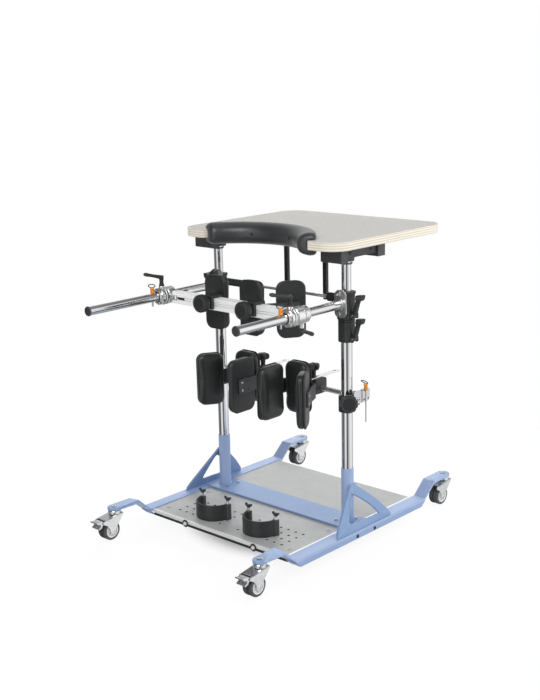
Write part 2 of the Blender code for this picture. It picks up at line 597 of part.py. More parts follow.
# Arms
def arm(side):
    """The sliding carrier with its bolted plate and tube; the left one also carries the cross rod."""
    low = CLAMP_HIGH
    body = collar(low, CARRIER_HIGH - 0.007, INNER_R + GAP, CARRIER_LEVER_Z, reach=0.005)
    half = COLLAR / 2 + 0.002
    rim = prism(rounded((POST_X - half, POST_X + half), (-half - 0.0035, half), COLLAR_CORNER), CARRIER_HIGH - 0.008, CARRIER_HIGH)
    plate_x, plate_z = POST_X + 0.002, ARM_Z + 0.0015
    wide, tall = ARM_PLATE_WIDE / 2, ARM_PLATE_TALL / 2
    plate = prism(rounded((plate_x - wide, plate_x + wide), (plate_z - tall, plate_z + tall), 0.014),
                  ARM_PLATE_Y - ARM_PLATE_THICK, ARM_PLATE_Y, "Y")
    end = ARM_END[side]
    start = ARM_PLATE_Y - 0.002
    profile = [(0, 0), (ARM_R, 0), (ARM_R, start - end - CAP_LONG), (CAP_R, start - end - CAP_LONG)]
    profile += [(CAP_R, start - end - 0.003), (CAP_R - 0.003, start - end), (0, start - end)]
    tube = aim(turned(profile, 16), (POST_X, start, ARM_Z), (0, -1, 0))
    body = join(body, rim, plate, tube)
    if side == "left":
        inner = POST_X - COLLAR / 2
        socket = rod((inner + 0.004, 0, ROD_Z), (0.100, 0, ROD_Z), 0.011, 12)
        bar = rod((0.102, 0, ROD_Z), (GAP - inner, 0, ROD_Z), ROD_R, SMALL)
        knob = prism(lobed(0.013, 8, 0.0012, 2), 0, 0.024)
        body = join(body, socket, bar, aim(knob, (-0.183, 0, ROD_Z), (-1, 0, 0)))
    hole = rod((POST_X, 0, low - 0.01), (POST_X, 0, CARRIER_HIGH + 0.01), INNER_R + GAP, ROUND)
    drilled = rod((POST_X, PIN_Y, ARM_Z - 2 * ARM_R), (POST_X, PIN_Y, ARM_Z + 2 * ARM_R), PIN_R + GAP, SMALL)
    return cut(body, hole, drilled)


def pull_pin(top, tip, shank, ring_turn):
    """A quick-release pin on Z = 0 plane heights: shank, moulded body and pull ring."""
    body = turned([(0, tip), (shank - 0.0008, tip), (shank, tip + 0.002), (shank, top), (0.0058, top), (0.0062, top + 0.003),
                   (0.0050, top + 0.007), (0.0062, top + 0.014), (0.0040, top + 0.018), (0, top + 0.018)], SMALL)
    ring = bmesh.new()
    rows = []
    for i in range(10):
        turn = 2 * math.pi * i / 10
        centre = Vector((0.0085 * math.cos(turn), 0, 0.0085 * math.sin(turn)))
        out = centre.normalized()
        row = []
        for j in range(4):
            lean = 2 * math.pi * j / 4
            row.append(ring.verts.new(centre + 0.0012 * (math.cos(lean) * out + math.sin(lean) * Vector((0, 1, 0)))))
        rows.append(row)
    for i in range(10):
        for j in range(4):
            ring.faces.new((rows[i - 1][j - 1], rows[i - 1][j], rows[i][j], rows[i][j - 1]))
    outward(ring)
    ring.transform(Matrix.Translation((0, 0, top + 0.0245)) @ Matrix.Rotation(ring_turn, 4, "Z"))
    return join(body, ring)


for side in ("left", "right"):
    solid("arm_" + side, flip(arm(side), side), "steel")
    spot = (mirrored_x(side, POST_X), PIN_Y, 0)
    pin = pull_pin(ARM_Z + ARM_R + GAP, PIN_TIP, PIN_R, math.radians(40))
    solid("arm_pin_" + side, aim(pin, spot), "orange", (spot[0], spot[1], ARM_Z))


# Hip gate
def arm_clamp(side):
    """The ring clamp on an arm: the left one carries the gate's hinge, the right one its rest and latch."""
    hole, outer, front, back = ARM_R + GAP, RING_R, RING_FRONT, RING_BACK
    profile = [(hole, front), (outer - 0.001, front), (outer, front + 0.002), (outer, front + 0.017)]
    profile += [(outer - 0.003, front + 0.018), (outer - 0.003, front + 0.022), (outer, front + 0.023), (outer, back)]
    if side == "right":
        profile += [(outer - 0.006, back + 0.001), (outer - 0.006, back + 0.003), (outer - 0.002, back + 0.004)]
        profile += [(outer - 0.002, SLEEVE_BACK), (hole, SLEEVE_BACK)]
    else:
        profile += [(hole, back)]
    body = aim(turned(profile, ROUND, ring=True), (POST_X, 0, ARM_Z), (0, 1, 0))
    boss = rod((POST_X, LEVER_Y, ARM_Z + hole + 0.004), (POST_X, LEVER_Y, LEVER_SEAT - GAP), 0.008, SMALL)
    body = join(body, boss)
    if side == "right":
        shelf_top = ARM_Z - RAIL_TALL / 2 - 0.0005
        shelf = box((RAIL_END - 0.020, POST_X - 0.012), (RAIL_Y - 0.014, RAIL_Y + 0.014), (shelf_top - 0.005, shelf_top))
        grip = LATCH_LOW + 0.004
        stem = rod((POST_X, LATCH_Y, ARM_Z - 0.018), (POST_X, LATCH_Y, LATCH_LOW), 0.0065, SMALL)
        tip = (POST_X, LATCH_Y - 0.003 + LATCH_REACH, grip - LATCH_DROP)
        handle = rod((POST_X, LATCH_Y - 0.003, grip), tip, 0.0068, 10, 0.0050)
        return join(body, shelf, stem, handle)
    tongue = rod((GATE_X, RAIL_Y, ARM_Z - KNUCKLE_HALF), (GATE_X, RAIL_Y, ARM_Z + KNUCKLE_HALF), KNUCKLE_R, 16)
    web = box((GATE_X, POST_X - 0.014), (RAIL_Y - 0.0100, RAIL_Y + 0.0100),
              (ARM_Z - KNUCKLE_HALF + 0.0005, ARM_Z + KNUCKLE_HALF - 0.0005))
    reach = RAIL_TALL / 2 - 0.001
    pin = rod((GATE_X, RAIL_Y, ARM_Z - reach), (GATE_X, RAIL_Y, ARM_Z + reach), GATE_PIN, SMALL)
    return join(body, web, tongue, pin)


def clamp_lever(reach):
    """A clamp lever: a stem on the ring's boss and a rising handle towards the user."""
    stem = turned([(0, LEVER_SEAT), (0.0078, LEVER_SEAT), (0.0062, LEVER_SEAT + 0.012), (0.0072, LEVER_TOP - 0.003),
                   (0.0050, LEVER_TOP), (0, LEVER_TOP)], SMALL)
    handle = rod((0, 0.003, LEVER_TOP - 0.006), (0, -reach, LEVER_TOP + 0.013), 0.0058, 10, 0.0048)
    return join(stem, handle)


for side, reach in (("left", 0.069), ("right", 0.080)):
    spot = (mirrored_x(side, POST_X), LEVER_Y, 0)
    solid("arm_clamp_" + side, flip(arm_clamp(side), side), "alloy")
    solid("clamp_lever_" + side, aim(clamp_lever(reach), spot), "black", (spot[0], spot[1], LEVER_SEAT))


def hip_rail():
    """The slotted aluminium rail, forked at its left end round the hinge's tongue."""
    deep, tall, slot = RAIL_DEEP / 2, RAIL_TALL / 2, SLOT_WIDE / 2
    quarter = [(deep - 0.002, tall), (deep, tall - 0.002), (deep, slot), (deep - SLOT_DEEP, slot)]
    outline = [(-slot, tall - SLOT_DEEP), (slot, tall - SLOT_DEEP), (slot, tall)] + quarter
    outline += [(a, -b) for a, b in quarter[::-1]] + [(slot, -tall), (slot, SLOT_DEEP - tall), (-slot, SLOT_DEEP - tall)]
    outline += [(-slot, -tall)] + [(-a, -b) for a, b in quarter] + [(-a, b) for a, b in quarter[::-1]] + [(-slot, tall)]
    body = prism([(RAIL_Y + a, ARM_Z + b) for a, b in outline], -GATE_X, RAIL_END, "X")
    low, high = ARM_Z - tall + 0.0003, ARM_Z + tall - 0.0003
    nose = rod((-GATE_X, RAIL_Y, low), (-GATE_X, RAIL_Y, high), deep - 0.0006, 16)
    room = KNUCKLE_HALF + 0.0006
    fork_gap = box((-GATE_X - 2 * deep, -GATE_X + KNUCKLE_R + 0.003), (RAIL_Y - 2 * deep, RAIL_Y + 2 * deep),
                   (ARM_Z - room, ARM_Z + room))
    hole = rod((-GATE_X, RAIL_Y, low - 0.01), (-GATE_X, RAIL_Y, high + 0.01), bore(GATE_PIN, SMALL), SMALL)
    return cut(join(body, nose), fork_gap, hole)


solid("hip_rail", hip_rail(), "alloy", (-GATE_X, RAIL_Y, ARM_Z))


def cushion(size, corner, turn, spot):
    """A pad: a shell, a drawn-in seam and a crowned cushion, facing its own +Y, back on y = 0."""
    wide, tall, thick = size
    rows = [(0.0, 0.0050), (0.10, 0.0008), (0.35, 0.0), (0.42, 0.0026), (0.50, 0.0004), (0.66, 0.0003)]
    rows += [(0.84, 0.0040), (0.95, 0.0130), (1.0, 0.0270)]
    shape = bmesh.new()
    rings = []
    for depth, inset in rows:
        a, b = wide / 2 - inset, tall / 2 - inset
        points = rounded((-a, a), (-b, b), max(corner - 0.8 * inset, 0.004), 4)
        full = []
        for i, point in enumerate(points):
            full.append(point)
            if i % 5 == 4:
                after = points[(i + 1) % len(points)]
                full.append(((point[0] + after[0]) / 2, (point[1] + after[1]) / 2))
        rings.append([shape.verts.new((x, depth * thick, z)) for x, z in full])
    for one, two in zip(rings, rings[1:]):
        for i in range(len(one)):
            shape.faces.new((one[i - 1], one[i], two[i], two[i - 1]))
    shape.faces.new(rings[0])
    shape.faces.new(rings[-1])
    outward(shape)
    shape.transform(Matrix.Translation(spot) @ Matrix.Rotation(turn, 4, "Z"))
    return shape


def heading(turn):
    """The way a pad faces after its turn about Z, and the way its width runs."""
    return Vector((-math.sin(turn), math.cos(turn))), Vector((math.cos(turn), math.sin(turn)))


STRAP_FACE = RAIL_Y + RAIL_DEEP / 2 + GAP + STRAP
HIP_SIDE_FACING = math.radians(90) - HIP_SIDE_TURN


def hip_bracket(side):
    """A saddle over the rail with a strap behind it that bends round to the side pad."""
    middle, half = KNOB_X[side], 0.015
    front, back = RAIL_Y - RAIL_DEEP / 2 - GAP, RAIL_Y + RAIL_DEEP / 2 + GAP
    top, low = ARM_Z + RAIL_TALL / 2 + GAP, ARM_Z - 0.013
    saddle = [(front - 0.010, low), (front - 0.010, top + 0.008), (back + STRAP, top + 0.008), (back + STRAP, low)]
    saddle += [(back, low), (back, top), (front, top), (front, low)]
    facing, along = heading(HIP_SIDE_FACING)
    seat = Vector((HIP_SIDE_X, HIP_SIDE_Y)) - facing * (HIP_SIDE_PAD[2] / 2 + GAP + STRAP / 2)
    row = STRAP_FACE - STRAP / 2
    bend = seat + along * ((row - seat.y) / along.y)
    tip = seat + along * 0.022
    path = [(min(middle - half, HIP_PAD_X - 0.020), row), tuple(bend), tuple(tip)]
    strap = prism(ribbon(path, STRAP / 2, STRAP / 2), ARM_Z - 0.0125, ARM_Z + 0.0125)
    return join(prism(saddle, middle - half, middle + half, "X"), strap)


def hip_knob(side):
    """A round clamp knob in front of the saddle."""
    seat = RAIL_Y - RAIL_DEEP / 2 - 2 * GAP - 0.010
    long = seat - KNOB_FACE
    stem = turned([(0, 0), (0.010, 0), (0.010, long - 0.018), (0, long - 0.018)], SMALL)
    head = prism(lobed(KNOB_R, 8, 0.0018, 3), long - 0.021, long)
    return aim(join(stem, head), (KNOB_X[side], seat, KNOB_Z), (0, -1, 0))


for side in ("left", "right"):
    solid("hip_bracket_" + side, flip(hip_bracket(side), side), "black")
    knob_spot = (mirrored_x(side, KNOB_X[side]), KNOB_FACE, KNOB_Z)
    solid("hip_knob_" + side, flip(hip_knob(side), side), "black", knob_spot)
    rear = cushion(HIP_PAD, 0.022, 0, (HIP_PAD_X, STRAP_FACE + GAP, HIP_PAD_Z))
    solid("hip_pad_rear_" + side, flip(rear, side), "cloth")
    facing, _ = heading(HIP_SIDE_FACING)
    back = Vector((HIP_SIDE_X, HIP_SIDE_Y)) - facing * HIP_SIDE_PAD[2] / 2
    lateral = cushion(HIP_SIDE_PAD, 0.024, HIP_SIDE_FACING, (back.x, back.y, HIP_SIDE_Z))
    solid("hip_pad_side_" + side, flip(lateral, side), "cloth")


# Knee unit
KNOB_WAY = Vector((math.sin(KNEE_KNOB_TURN), -math.cos(KNEE_KNOB_TURN), 0))


def knee_bar():
    """The cross tube with a sliding collar at each post and the index plate on the right."""
    bar = rod((-KNEE_HALF, KNEE_Y, KNEE_Z), (KNEE_HALF, KNEE_Y, KNEE_Z), KNEE_R, 16)
    half = COLLAR / 2
    for side in ("left", "right"):
        ring = collar(KNEE_LOW, KNEE_HIGH, OUTER_R + GAP)
        lug = prism(rounded((half - 0.004, KNEE_Y + 0.012), (KNEE_Z - 0.0125, KNEE_Z + 0.0125), 0.006, 2),
                    POST_X - 0.013, POST_X + 0.013, "X")
        boss_start = Vector((POST_X, 0, KNEE_Z)) + KNOB_WAY * 0.0170
        boss_end = Vector((POST_X, 0, KNEE_Z)) + KNOB_WAY * KNEE_KNOB_SEAT
        ring = join(ring, lug, rod(boss_start, boss_end, 0.009, SMALL))
        bar = join(bar, flip(ring, side))
    for side in ("left", "right"):
        x = mirrored_x(side, POST_X)
        bar = cut(bar, rod((x, 0, KNEE_LOW - 0.01), (x, 0, KNEE_HIGH + 0.01), OUTER_R + GAP, ROUND))
    face = POST_X + half
    disc = prism(lobed(0.0215, 14, 0.0020, 2), 0, 0.0095)
    plate = prism(rounded((INDEX_FRONT, INDEX_BACK), (INDEX_Z - INDEX_TALL, INDEX_Z), 0.008, 3), face + 0.0085, face + 0.0130, "X")
    tab = box((face + 0.0085, face + INDEX_OUT + 0.008), (INDEX_Y - 0.010, INDEX_Y + 0.010), (INDEX_Z - 0.003, INDEX_Z))
    bar = join(bar, aim(disc, (face - 0.0005, 0.010, KNEE_Z + 0.005), (1, 0, 0)), plate, tab)
    holes = [rod((face, y, KNEE_Z - 0.0015), (face + 0.03, y, KNEE_Z - 0.0015), 0.0032, 10) for y in INDEX_HOLES]
    pin = rod((face + INDEX_OUT, INDEX_Y, INDEX_TIP), (face + INDEX_OUT, INDEX_Y, INDEX_Z + 0.05), 0.002 + GAP, SMALL)
    return cut(bar, *holes, pin)


def knee_knob():
    """A lobed clamp knob on the collar's boss."""
    start = Vector((POST_X, 0, KNEE_Z)) + KNOB_WAY * (KNEE_KNOB_SEAT + GAP)
    stem = turned([(0, 0), (0.012, 0), (0.012, 0.006), (0, 0.006)], SMALL)
    head = prism(lobed(KNEE_KNOB_R, 10, 0.0022, 3), 0.004, 0.021)
    return aim(join(stem, head), start, KNOB_WAY)


solid("knee_bar", knee_bar(), "black")
index_spot = (POST_X + COLLAR / 2 + INDEX_OUT, INDEX_Y, 0)
knee_pin = aim(pull_pin(INDEX_Z + GAP, INDEX_TIP, 0.002, 0), index_spot)
solid("knee_pin", knee_pin, "orange", (index_spot[0], INDEX_Y, INDEX_Z))

BLOCK_TOP = BAR_LOW - GAP
BAR_TOP = BAR_LOW + DEPTH_BAR


def knee_block():
    """The clamp block on the cross tube that carries a knee cup's depth bar."""
    middle = CUP_KNEE_X
    block = prism(rounded((BLOCK_FRONT, BLOCK_BACK), (BLOCK_LOW, BLOCK_TOP), 0.005, 2), middle - BLOCK_HALF, middle + BLOCK_HALF, "X")
    tube = rod((0, KNEE_Y, KNEE_Z), (0.2, KNEE_Y, KNEE_Z), KNEE_R + GAP, 16)
    screw = rod((middle, STAR_Y, BLOCK_TOP - 0.014), (middle, STAR_Y, 0.5), bore(0.003, SMALL), SMALL)
    return cut(block, tube, screw)


def star_knob():
    """A five-lobed knob; its screw drops through the depth bar's slot into the block."""
    seat = BAR_TOP + GAP
    under = STAR_TOP - 0.019
    profile = [(0, BLOCK_TOP - 0.012), (0.003, BLOCK_TOP - 0.012), (0.003, seat), (0.0085, seat), (0.0070, under - 0.006)]
    stem = turned(profile + [(0.010, under + 0.004), (0, under + 0.004)], SMALL)
    head = prism(lobed(STAR_R, 5, 0.007, 5), under, STAR_TOP)
    return aim(join(stem, head), (CUP_KNEE_X, STAR_Y, 0))


def knee_frame():
    """The slotted depth bar with the bent strap that holds a knee cup's three pads."""
    middle, wide = CUP_KNEE_X, DEPTH_WIDE / 2
    facing, along = heading(math.radians(90) + LATERAL_TURN)
    seat = Vector((LATERAL_X, LATERAL_Y)) - facing * (KNEE_OUTER_PAD[2] / 2 + GAP + STRAP / 2)
    row = KNEE_BACK_Y + GAP + STRAP / 2
    corner = (middle + KNEE_FRONT_PAD[0] / 2 + STRAP / 2 + 0.005, row)
    inner = MEDIAL_X - KNEE_INNER_PAD[2] / 2 - GAP - STRAP / 2
    path = [(inner, MEDIAL_Y - 0.022), (inner, row), corner, tuple(seat + along * 0.047), tuple(seat - along * 0.012)]
    strap = prism(ribbon(path, STRAP / 2, STRAP / 2), STRAP_LOW, BAR_TOP + 0.002)
    bar = prism(rounded((middle - wide, middle + wide), (row - 0.001, DEPTH_BACK), 0.0008, 1), BAR_LOW, BAR_TOP)
    slot = DEPTH_SLOT / 2
    opening = prism(rounded((middle - slot, middle + slot), (row + 0.016, DEPTH_BACK - 0.010), slot - 0.0002, 3),
                    BAR_LOW - 0.01, BAR_TOP + 0.01)
    return join(strap, cut(bar, opening))


for side in ("left", "right"):
    knob_spot = Vector((POST_X, 0, KNEE_Z)) + KNOB_WAY * KNEE_KNOB_SEAT
    knob_spot.x = mirrored_x(side, knob_spot.x)
    middle = mirrored_x(side, CUP_KNEE_X)
    solid("knee_knob_" + side, flip(knee_knob(), side), "black", knob_spot)
    solid("knee_block_" + side, flip(knee_block(), side), "black", (middle, KNEE_Y, KNEE_Z))
    solid("star_knob_" + side, flip(star_knob(), side), "black", (middle, STAR_Y, BAR_TOP))
    solid("knee_frame_" + side, flip(knee_frame(), side), "steel", (middle, KNEE_BACK_Y, BAR_LOW))
    front = cushion(KNEE_FRONT_PAD, 0.024, math.pi, (CUP_KNEE_X, KNEE_BACK_Y, KNEE_PAD_Z))
    solid("knee_pad_front_" + side, flip(front, side), "cloth")
    inner = (MEDIAL_X - KNEE_INNER_PAD[2] / 2, MEDIAL_Y, KNEE_PAD_Z - MEDIAL_DROP)
    solid("knee_pad_inner_" + side, flip(cushion(KNEE_INNER_PAD, 0.022, -math.pi / 2, inner), side), "cloth")
    turn = math.radians(90) + LATERAL_TURN
    facing, _ = heading(turn)
    back = Vector((LATERAL_X, LATERAL_Y)) - facing * KNEE_OUTER_PAD[2] / 2
    outer = cushion(KNEE_OUTER_PAD, 0.022, turn, (back.x, back.y, KNEE_PAD_Z - LATERAL_DROP))
    solid("knee_pad_outer_" + side, flip(outer, side), "cloth")
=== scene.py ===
# %% [markdown]
# # A standing frame, dressed piece by piece
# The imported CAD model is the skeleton: every body, joint and size comes from it. This script puts the looks
# on top, one piece after another, and each piece rides on the CAD body that carries the real one.

# %% Load the frame
import math

import bmesh
import bpy
from mathutils import Matrix, Vector
from mathutils.bvhtree import BVHTree


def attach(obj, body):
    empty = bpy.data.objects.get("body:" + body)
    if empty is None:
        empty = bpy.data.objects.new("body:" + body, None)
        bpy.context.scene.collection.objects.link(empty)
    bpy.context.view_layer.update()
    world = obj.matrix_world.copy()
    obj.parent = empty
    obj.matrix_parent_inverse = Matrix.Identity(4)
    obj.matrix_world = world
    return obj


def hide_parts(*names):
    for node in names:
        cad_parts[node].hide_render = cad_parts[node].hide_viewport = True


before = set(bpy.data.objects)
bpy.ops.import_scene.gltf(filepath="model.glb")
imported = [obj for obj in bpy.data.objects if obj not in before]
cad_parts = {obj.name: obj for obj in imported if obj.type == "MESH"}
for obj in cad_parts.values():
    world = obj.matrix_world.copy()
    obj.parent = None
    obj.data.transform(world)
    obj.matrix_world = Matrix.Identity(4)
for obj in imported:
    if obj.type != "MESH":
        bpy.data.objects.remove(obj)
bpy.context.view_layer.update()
scene = bpy.context.scene

# %% [markdown]
# ## Camera
# The photograph is taken from the front right, a little above the table. A camera is placed by its eye, and
# its three axes come from the azimuth, the elevation and a slight roll, so the render can be laid over the
# photograph.

# %% Camera
EYE = Vector((2.18701, -2.38709, 1.32997))
AZIMUTH, ELEVATION, ROLL = math.radians(42.642), math.radians(13.827), math.radians(-1.261)
LENS, SENSOR = 58.88, 36.0

backward = Vector((math.sin(AZIMUTH) * math.cos(ELEVATION), -math.cos(AZIMUTH) * math.cos(ELEVATION),
                   math.sin(ELEVATION)))
level = Vector((math.cos(AZIMUTH), math.sin(AZIMUTH), 0))
upright = backward.cross(level)
rightward = math.cos(ROLL) * level + math.sin(ROLL) * upright
upward = math.cos(ROLL) * upright - math.sin(ROLL) * level
lens = bpy.data.cameras.new("camera")
lens.lens, lens.sensor_width = LENS, SENSOR
camera = bpy.data.objects.new("camera", lens)
camera.matrix_world = Matrix.Translation(EYE) @ Matrix((rightward, upward, backward)).transposed().to_4x4()
scene.collection.objects.link(camera)
scene.camera = camera
print("camera eye", [round(v, 3) for v in EYE], "with a lens of", LENS, "mm")

# %% [markdown]
# ## Light and floor
# The studio is plain: four soft boxes, a white room and a pale floor that keeps a soft shadow. Each soft box
# is an area lamp turned towards the middle of the frame, and only the key lamp shows up in metal.

# %% Soft boxes
SOFT_BOXES = {  # place, size in metres, power in watts
    "key": ((1.1, -2.6, 2.9), 1.8, 44.0),
    "side": ((3.0, 0.2, 1.7), 1.3, 20.0),
    "back": ((-1.5, 1.8, 0.8), 1.4, 62.0),
    "rear": ((1.35, 2.0, 1.45), 0.6, 16.0),
}
TARGET = Vector((0, 0, 0.45))

scene.view_settings.view_transform = "Standard"
for lamp, (spot, wide, power) in SOFT_BOXES.items():
    light = bpy.data.lights.new(lamp, "AREA")
    light.shape, light.size, light.energy = "SQUARE", wide, power
    holder = bpy.data.objects.new(lamp, light)
    holder.location = spot
    holder.visible_glossy = lamp == "key"
    holder.rotation_euler = (TARGET - Vector(spot)).to_track_quat("-Z", "Y").to_euler()
    scene.collection.objects.link(holder)
print(len(SOFT_BOXES), "soft boxes")

# %% [markdown]
# Room, floor and finishes are trees of shader nodes. These helpers add a node, join nodes and fill a
# colour ramp.

# %% Helpers for node trees
MIX_FIRST, MIX_SECOND, MIX_RESULT = 6, 7, 2  # the colour sockets of a Mix node


def add_node(tree, kind, **settings):
    """A new shader node; a setting is a socket's value or else a property of the node."""
    node = tree.nodes.new("ShaderNode" + kind)
    for name, value in settings.items():
        socket = name.replace("_", " ")
        if socket in node.inputs:
            node.inputs[socket].default_value = value
        else:
            setattr(node, name, value)
    return node


def wire(tree, *rows):
    """Joins nodes; each row is a node, its output, the next node and its input."""
    for source, output, target, entry in rows:
        tree.links.new(source.outputs[output], target.inputs[entry])


def fill_ramp(ramp, stops):
    """Gives a colour ramp its stops, each a place and a colour."""
    elements = ramp.color_ramp.elements
    for index, (spot, colour) in enumerate(stops):
        stop = elements[index] if index < 2 else elements.new(spot)
        stop.position, stop.color = spot, (*colour, 1)


def greys(stops, scale=1.0):
    """Stops of plain grey; their places are divided by the scale."""
    return [(spot / scale, (grey, grey, grey)) for spot, grey in stops]


print("node helpers ready")

# %% [markdown]
# Chrome only looks like chrome when it has something dark to mirror. So mirrors see walls with light and
# dark bands, matt surfaces get an even light, and the camera sees clean white.

# %% Room
ROOM_LIGHT = 0.62
WALL_STOPS = ((0.0, 0.3), (0.035, 0.22), (0.132, 0.12), (0.188, 0.16), (0.243, 0.9), (0.277, 1.0),
              (0.313, 0.7), (0.346, 0.12), (0.382, 0.07), (0.407, 0.3), (0.452, 0.62), (0.507, 0.85),
              (0.577, 1.0), (0.632, 1.0), (0.679, 0.55), (0.743, 0.5), (0.868, 1.0), (1.0, 0.3))
HEIGHT_STOPS = ((0.0, 0.45), (0.22, 0.55), (0.36, 1.0), (0.71, 1.0), (0.79, 0.3), (0.88, 0.35), (1.0, 0.8))

room = bpy.data.worlds.new("room")
room.use_nodes = True
scene.world = room
tree = room.node_tree
lit = tree.nodes["Background"]
seen = add_node(tree, "Background")
mirrored = add_node(tree, "Background")
for light, strength in ((lit, ROOM_LIGHT), (seen, 1.0), (mirrored, 1.0)):
    light.inputs["Color"].default_value = (1, 1, 1, 1)
    light.inputs["Strength"].default_value = strength
where = add_node(tree, "TexCoord")
parts = add_node(tree, "SeparateXYZ")
turn = add_node(tree, "Math", operation="ARCTAN2")
bands = add_node(tree, "MapRange", From_Min=-math.pi, From_Max=math.pi)
walls = add_node(tree, "ValToRGB")
fill_ramp(walls, greys(WALL_STOPS))
climb = add_node(tree, "MapRange", From_Min=-1.0)
rise = add_node(tree, "ValToRGB")
fill_ramp(rise, greys(HEIGHT_STOPS))
dimmed = add_node(tree, "Mix", data_type="RGBA", blend_type="MULTIPLY")
dimmed.inputs[0].default_value = 1.0
wire(tree,
     (where, "Generated", parts, "Vector"),
     (parts, "Y", turn, 0),
     (parts, "X", turn, 1),
     (turn, 0, bands, "Value"),
     (bands, "Result", walls, "Fac"),
     (parts, "Z", climb, "Value"),
     (climb, "Result", rise, "Fac"),
     (walls, "Color", dimmed, MIX_FIRST),
     (rise, "Color", dimmed, MIX_SECOND),
     (dimmed, MIX_RESULT, mirrored, "Color"))
path = add_node(tree, "LightPath")
for_eye = add_node(tree, "MixShader")
for_metal = add_node(tree, "MixShader")
wire(tree,
     (path, "Is Camera Ray", for_eye, "Fac"),
     (lit, 0, for_eye, 1),
     (seen, 0, for_eye, 2),
     (path, "Is Glossy Ray", for_metal, "Fac"),
     (for_eye, 0, for_metal, 1),
     (mirrored, 0, for_metal, 2),
     (for_metal, 0, tree.nodes["World Output"], "Surface"))
print("room with", len(WALL_STOPS), "tones round it")

# %% [markdown]
# The floor is a pale sheet. Away from the frame it shines by itself, so that it melts into the white room.

# %% Floor
FLOOR_HALF, FLOOR_DROP, FLOOR_GREY, FLOOR_ROUGH = 12.0, 0.0005, 0.97, 0.8
UNDER_HALF = (0.26, 0.27)  # half the footplate's size, the unit for distances on the floor
FAR_STEPS = 8.0  # where the ramp ends, in that unit
GLOW_STOPS = ((0.75, 0.3), (1.05, 0.9), (2.6, 0.92),
              (5.0, 1.0))  # distance from the middle, share of own light

floor_mesh = bpy.data.meshes.new("floor")
sheet = bmesh.new()
bmesh.ops.create_grid(sheet, x_segments=1, y_segments=1, size=FLOOR_HALF)
sheet.to_mesh(floor_mesh)
sheet.free()
floor = bpy.data.objects.new("floor", floor_mesh)
floor.location.z = -FLOOR_DROP
floor.visible_glossy = False
scene.collection.objects.link(floor)
pale = bpy.data.materials.new("pale floor")
pale.use_nodes = True
tree = pale.node_tree
skin = tree.nodes["Principled BSDF"]
skin.inputs["Base Color"].default_value = (FLOOR_GREY, FLOOR_GREY, FLOOR_GREY, 1)
skin.inputs["Roughness"].default_value = FLOOR_ROUGH
skin.inputs["Specular IOR Level"].default_value = 0.0
where = add_node(tree, "TexCoord")
under = add_node(tree, "VectorMath", operation="MULTIPLY")
under.inputs[1].default_value = (1 / UNDER_HALF[0], 1 / UNDER_HALF[1], 0)
far = add_node(tree, "VectorMath", operation="LENGTH")
farther = add_node(tree, "Math", operation="DIVIDE")
farther.inputs[1].default_value = FAR_STEPS
open_floor = add_node(tree, "ValToRGB")
fill_ramp(open_floor, greys(GLOW_STOPS, FAR_STEPS))
path = add_node(tree, "LightPath")
half = add_node(tree, "Math", operation="MULTIPLY")
glow = add_node(tree, "Emission")
share = add_node(tree, "MixShader")
wire(tree,
     (where, "Object", under, 0),
     (under, "Vector", far, 0),
     (far, "Value", farther, 0),
     (farther, 0, open_floor, "Fac"),
     (path, "Is Camera Ray", half, 0),
     (open_floor, "Color", half, 1),
     (half, 0, share, "Fac"),
     (skin, 0, share, 1),
     (glow, 0, share, 2),
     (share, 0, tree.nodes["Material Output"], "Surface"))
floor_mesh.materials.append(pale)
print("floor", 2 * FLOOR_HALF, "m wide")

# %% [markdown]
# ## Finishes
# Each finish is a small tree of nodes round one Principled shader: a pattern on Object coordinates changes
# the colour a little, another changes the roughness, and a fine one gives the relief. Helpers keep that
# short.

# %% Helpers for finishes
CALM = (0.3, 0.7)  # most values of a noise lie between these


def finish(name, metal=0.0, rough=0.5, **values):
    """A new material; values are sockets that are the same all over the surface."""
    made = bpy.data.materials.new(name)
    made.use_nodes = True
    shader = made.node_tree.nodes["Principled BSDF"]
    shader.inputs["Metallic"].default_value = metal
    shader.inputs["Roughness"].default_value = rough
    for socket, value in values.items():
        shader.inputs[socket.replace("_", " ")].default_value = value
    return made


def pattern(made, kind, scale, stretch=(1, 1, 1), **settings):
    """A texture on Object coordinates; returns its node."""
    tree = made.node_tree
    where = add_node(tree, "TexCoord")
    fit = add_node(tree, "Mapping", Scale=stretch)
    texture = add_node(tree, "Tex" + kind, Scale=scale, **settings)
    wire(tree, (where, "Object", fit, "Vector"), (fit, "Vector", texture, "Vector"))
    return texture


def noise(made, scale, detail=2.0, stretch=(1, 1, 1)):
    """A cloudy pattern; returns its value."""
    return pattern(made, "Noise", scale, stretch, Detail=detail).outputs["Fac"]


def shades(made, source, stops):
    """A colour ramp fed by a value; returns its colour output."""
    ramp = add_node(made.node_tree, "ValToRGB")
    fill_ramp(ramp, stops)
    made.node_tree.links.new(source, ramp.inputs["Fac"])
    return ramp.outputs["Color"]


def two_tone(made, source, dark, light):
    """A noise as a drift between two colours."""
    return shades(made, source, ((CALM[0], dark), (CALM[1], light)))


def spread(made, source, low, high, start=CALM[0], end=CALM[1]):
    """A value moved into the range from low to high; returns its output."""
    change = add_node(made.node_tree, "MapRange", From_Min=start, From_Max=end, To_Min=low, To_Max=high)
    made.node_tree.links.new(source, change.inputs["Value"])
    return change.outputs["Result"]


def blend_colours(made, factor, first, second):
    """Mixes two colours, each an output or a plain colour; returns the result."""
    mix = add_node(made.node_tree, "Mix", data_type="RGBA", blend_type="MIX")
    for index, value in ((0, factor), (MIX_FIRST, first), (MIX_SECOND, second)):
        if isinstance(value, bpy.types.NodeSocket):
            made.node_tree.links.new(value, mix.inputs[index])
        else:
            mix.inputs[index].default_value = (*value, 1)
    return mix.outputs[MIX_RESULT]


def give(made, socket, source):
    """Feeds one socket of the material's shader."""
    made.node_tree.links.new(source, made.node_tree.nodes["Principled BSDF"].inputs[socket])


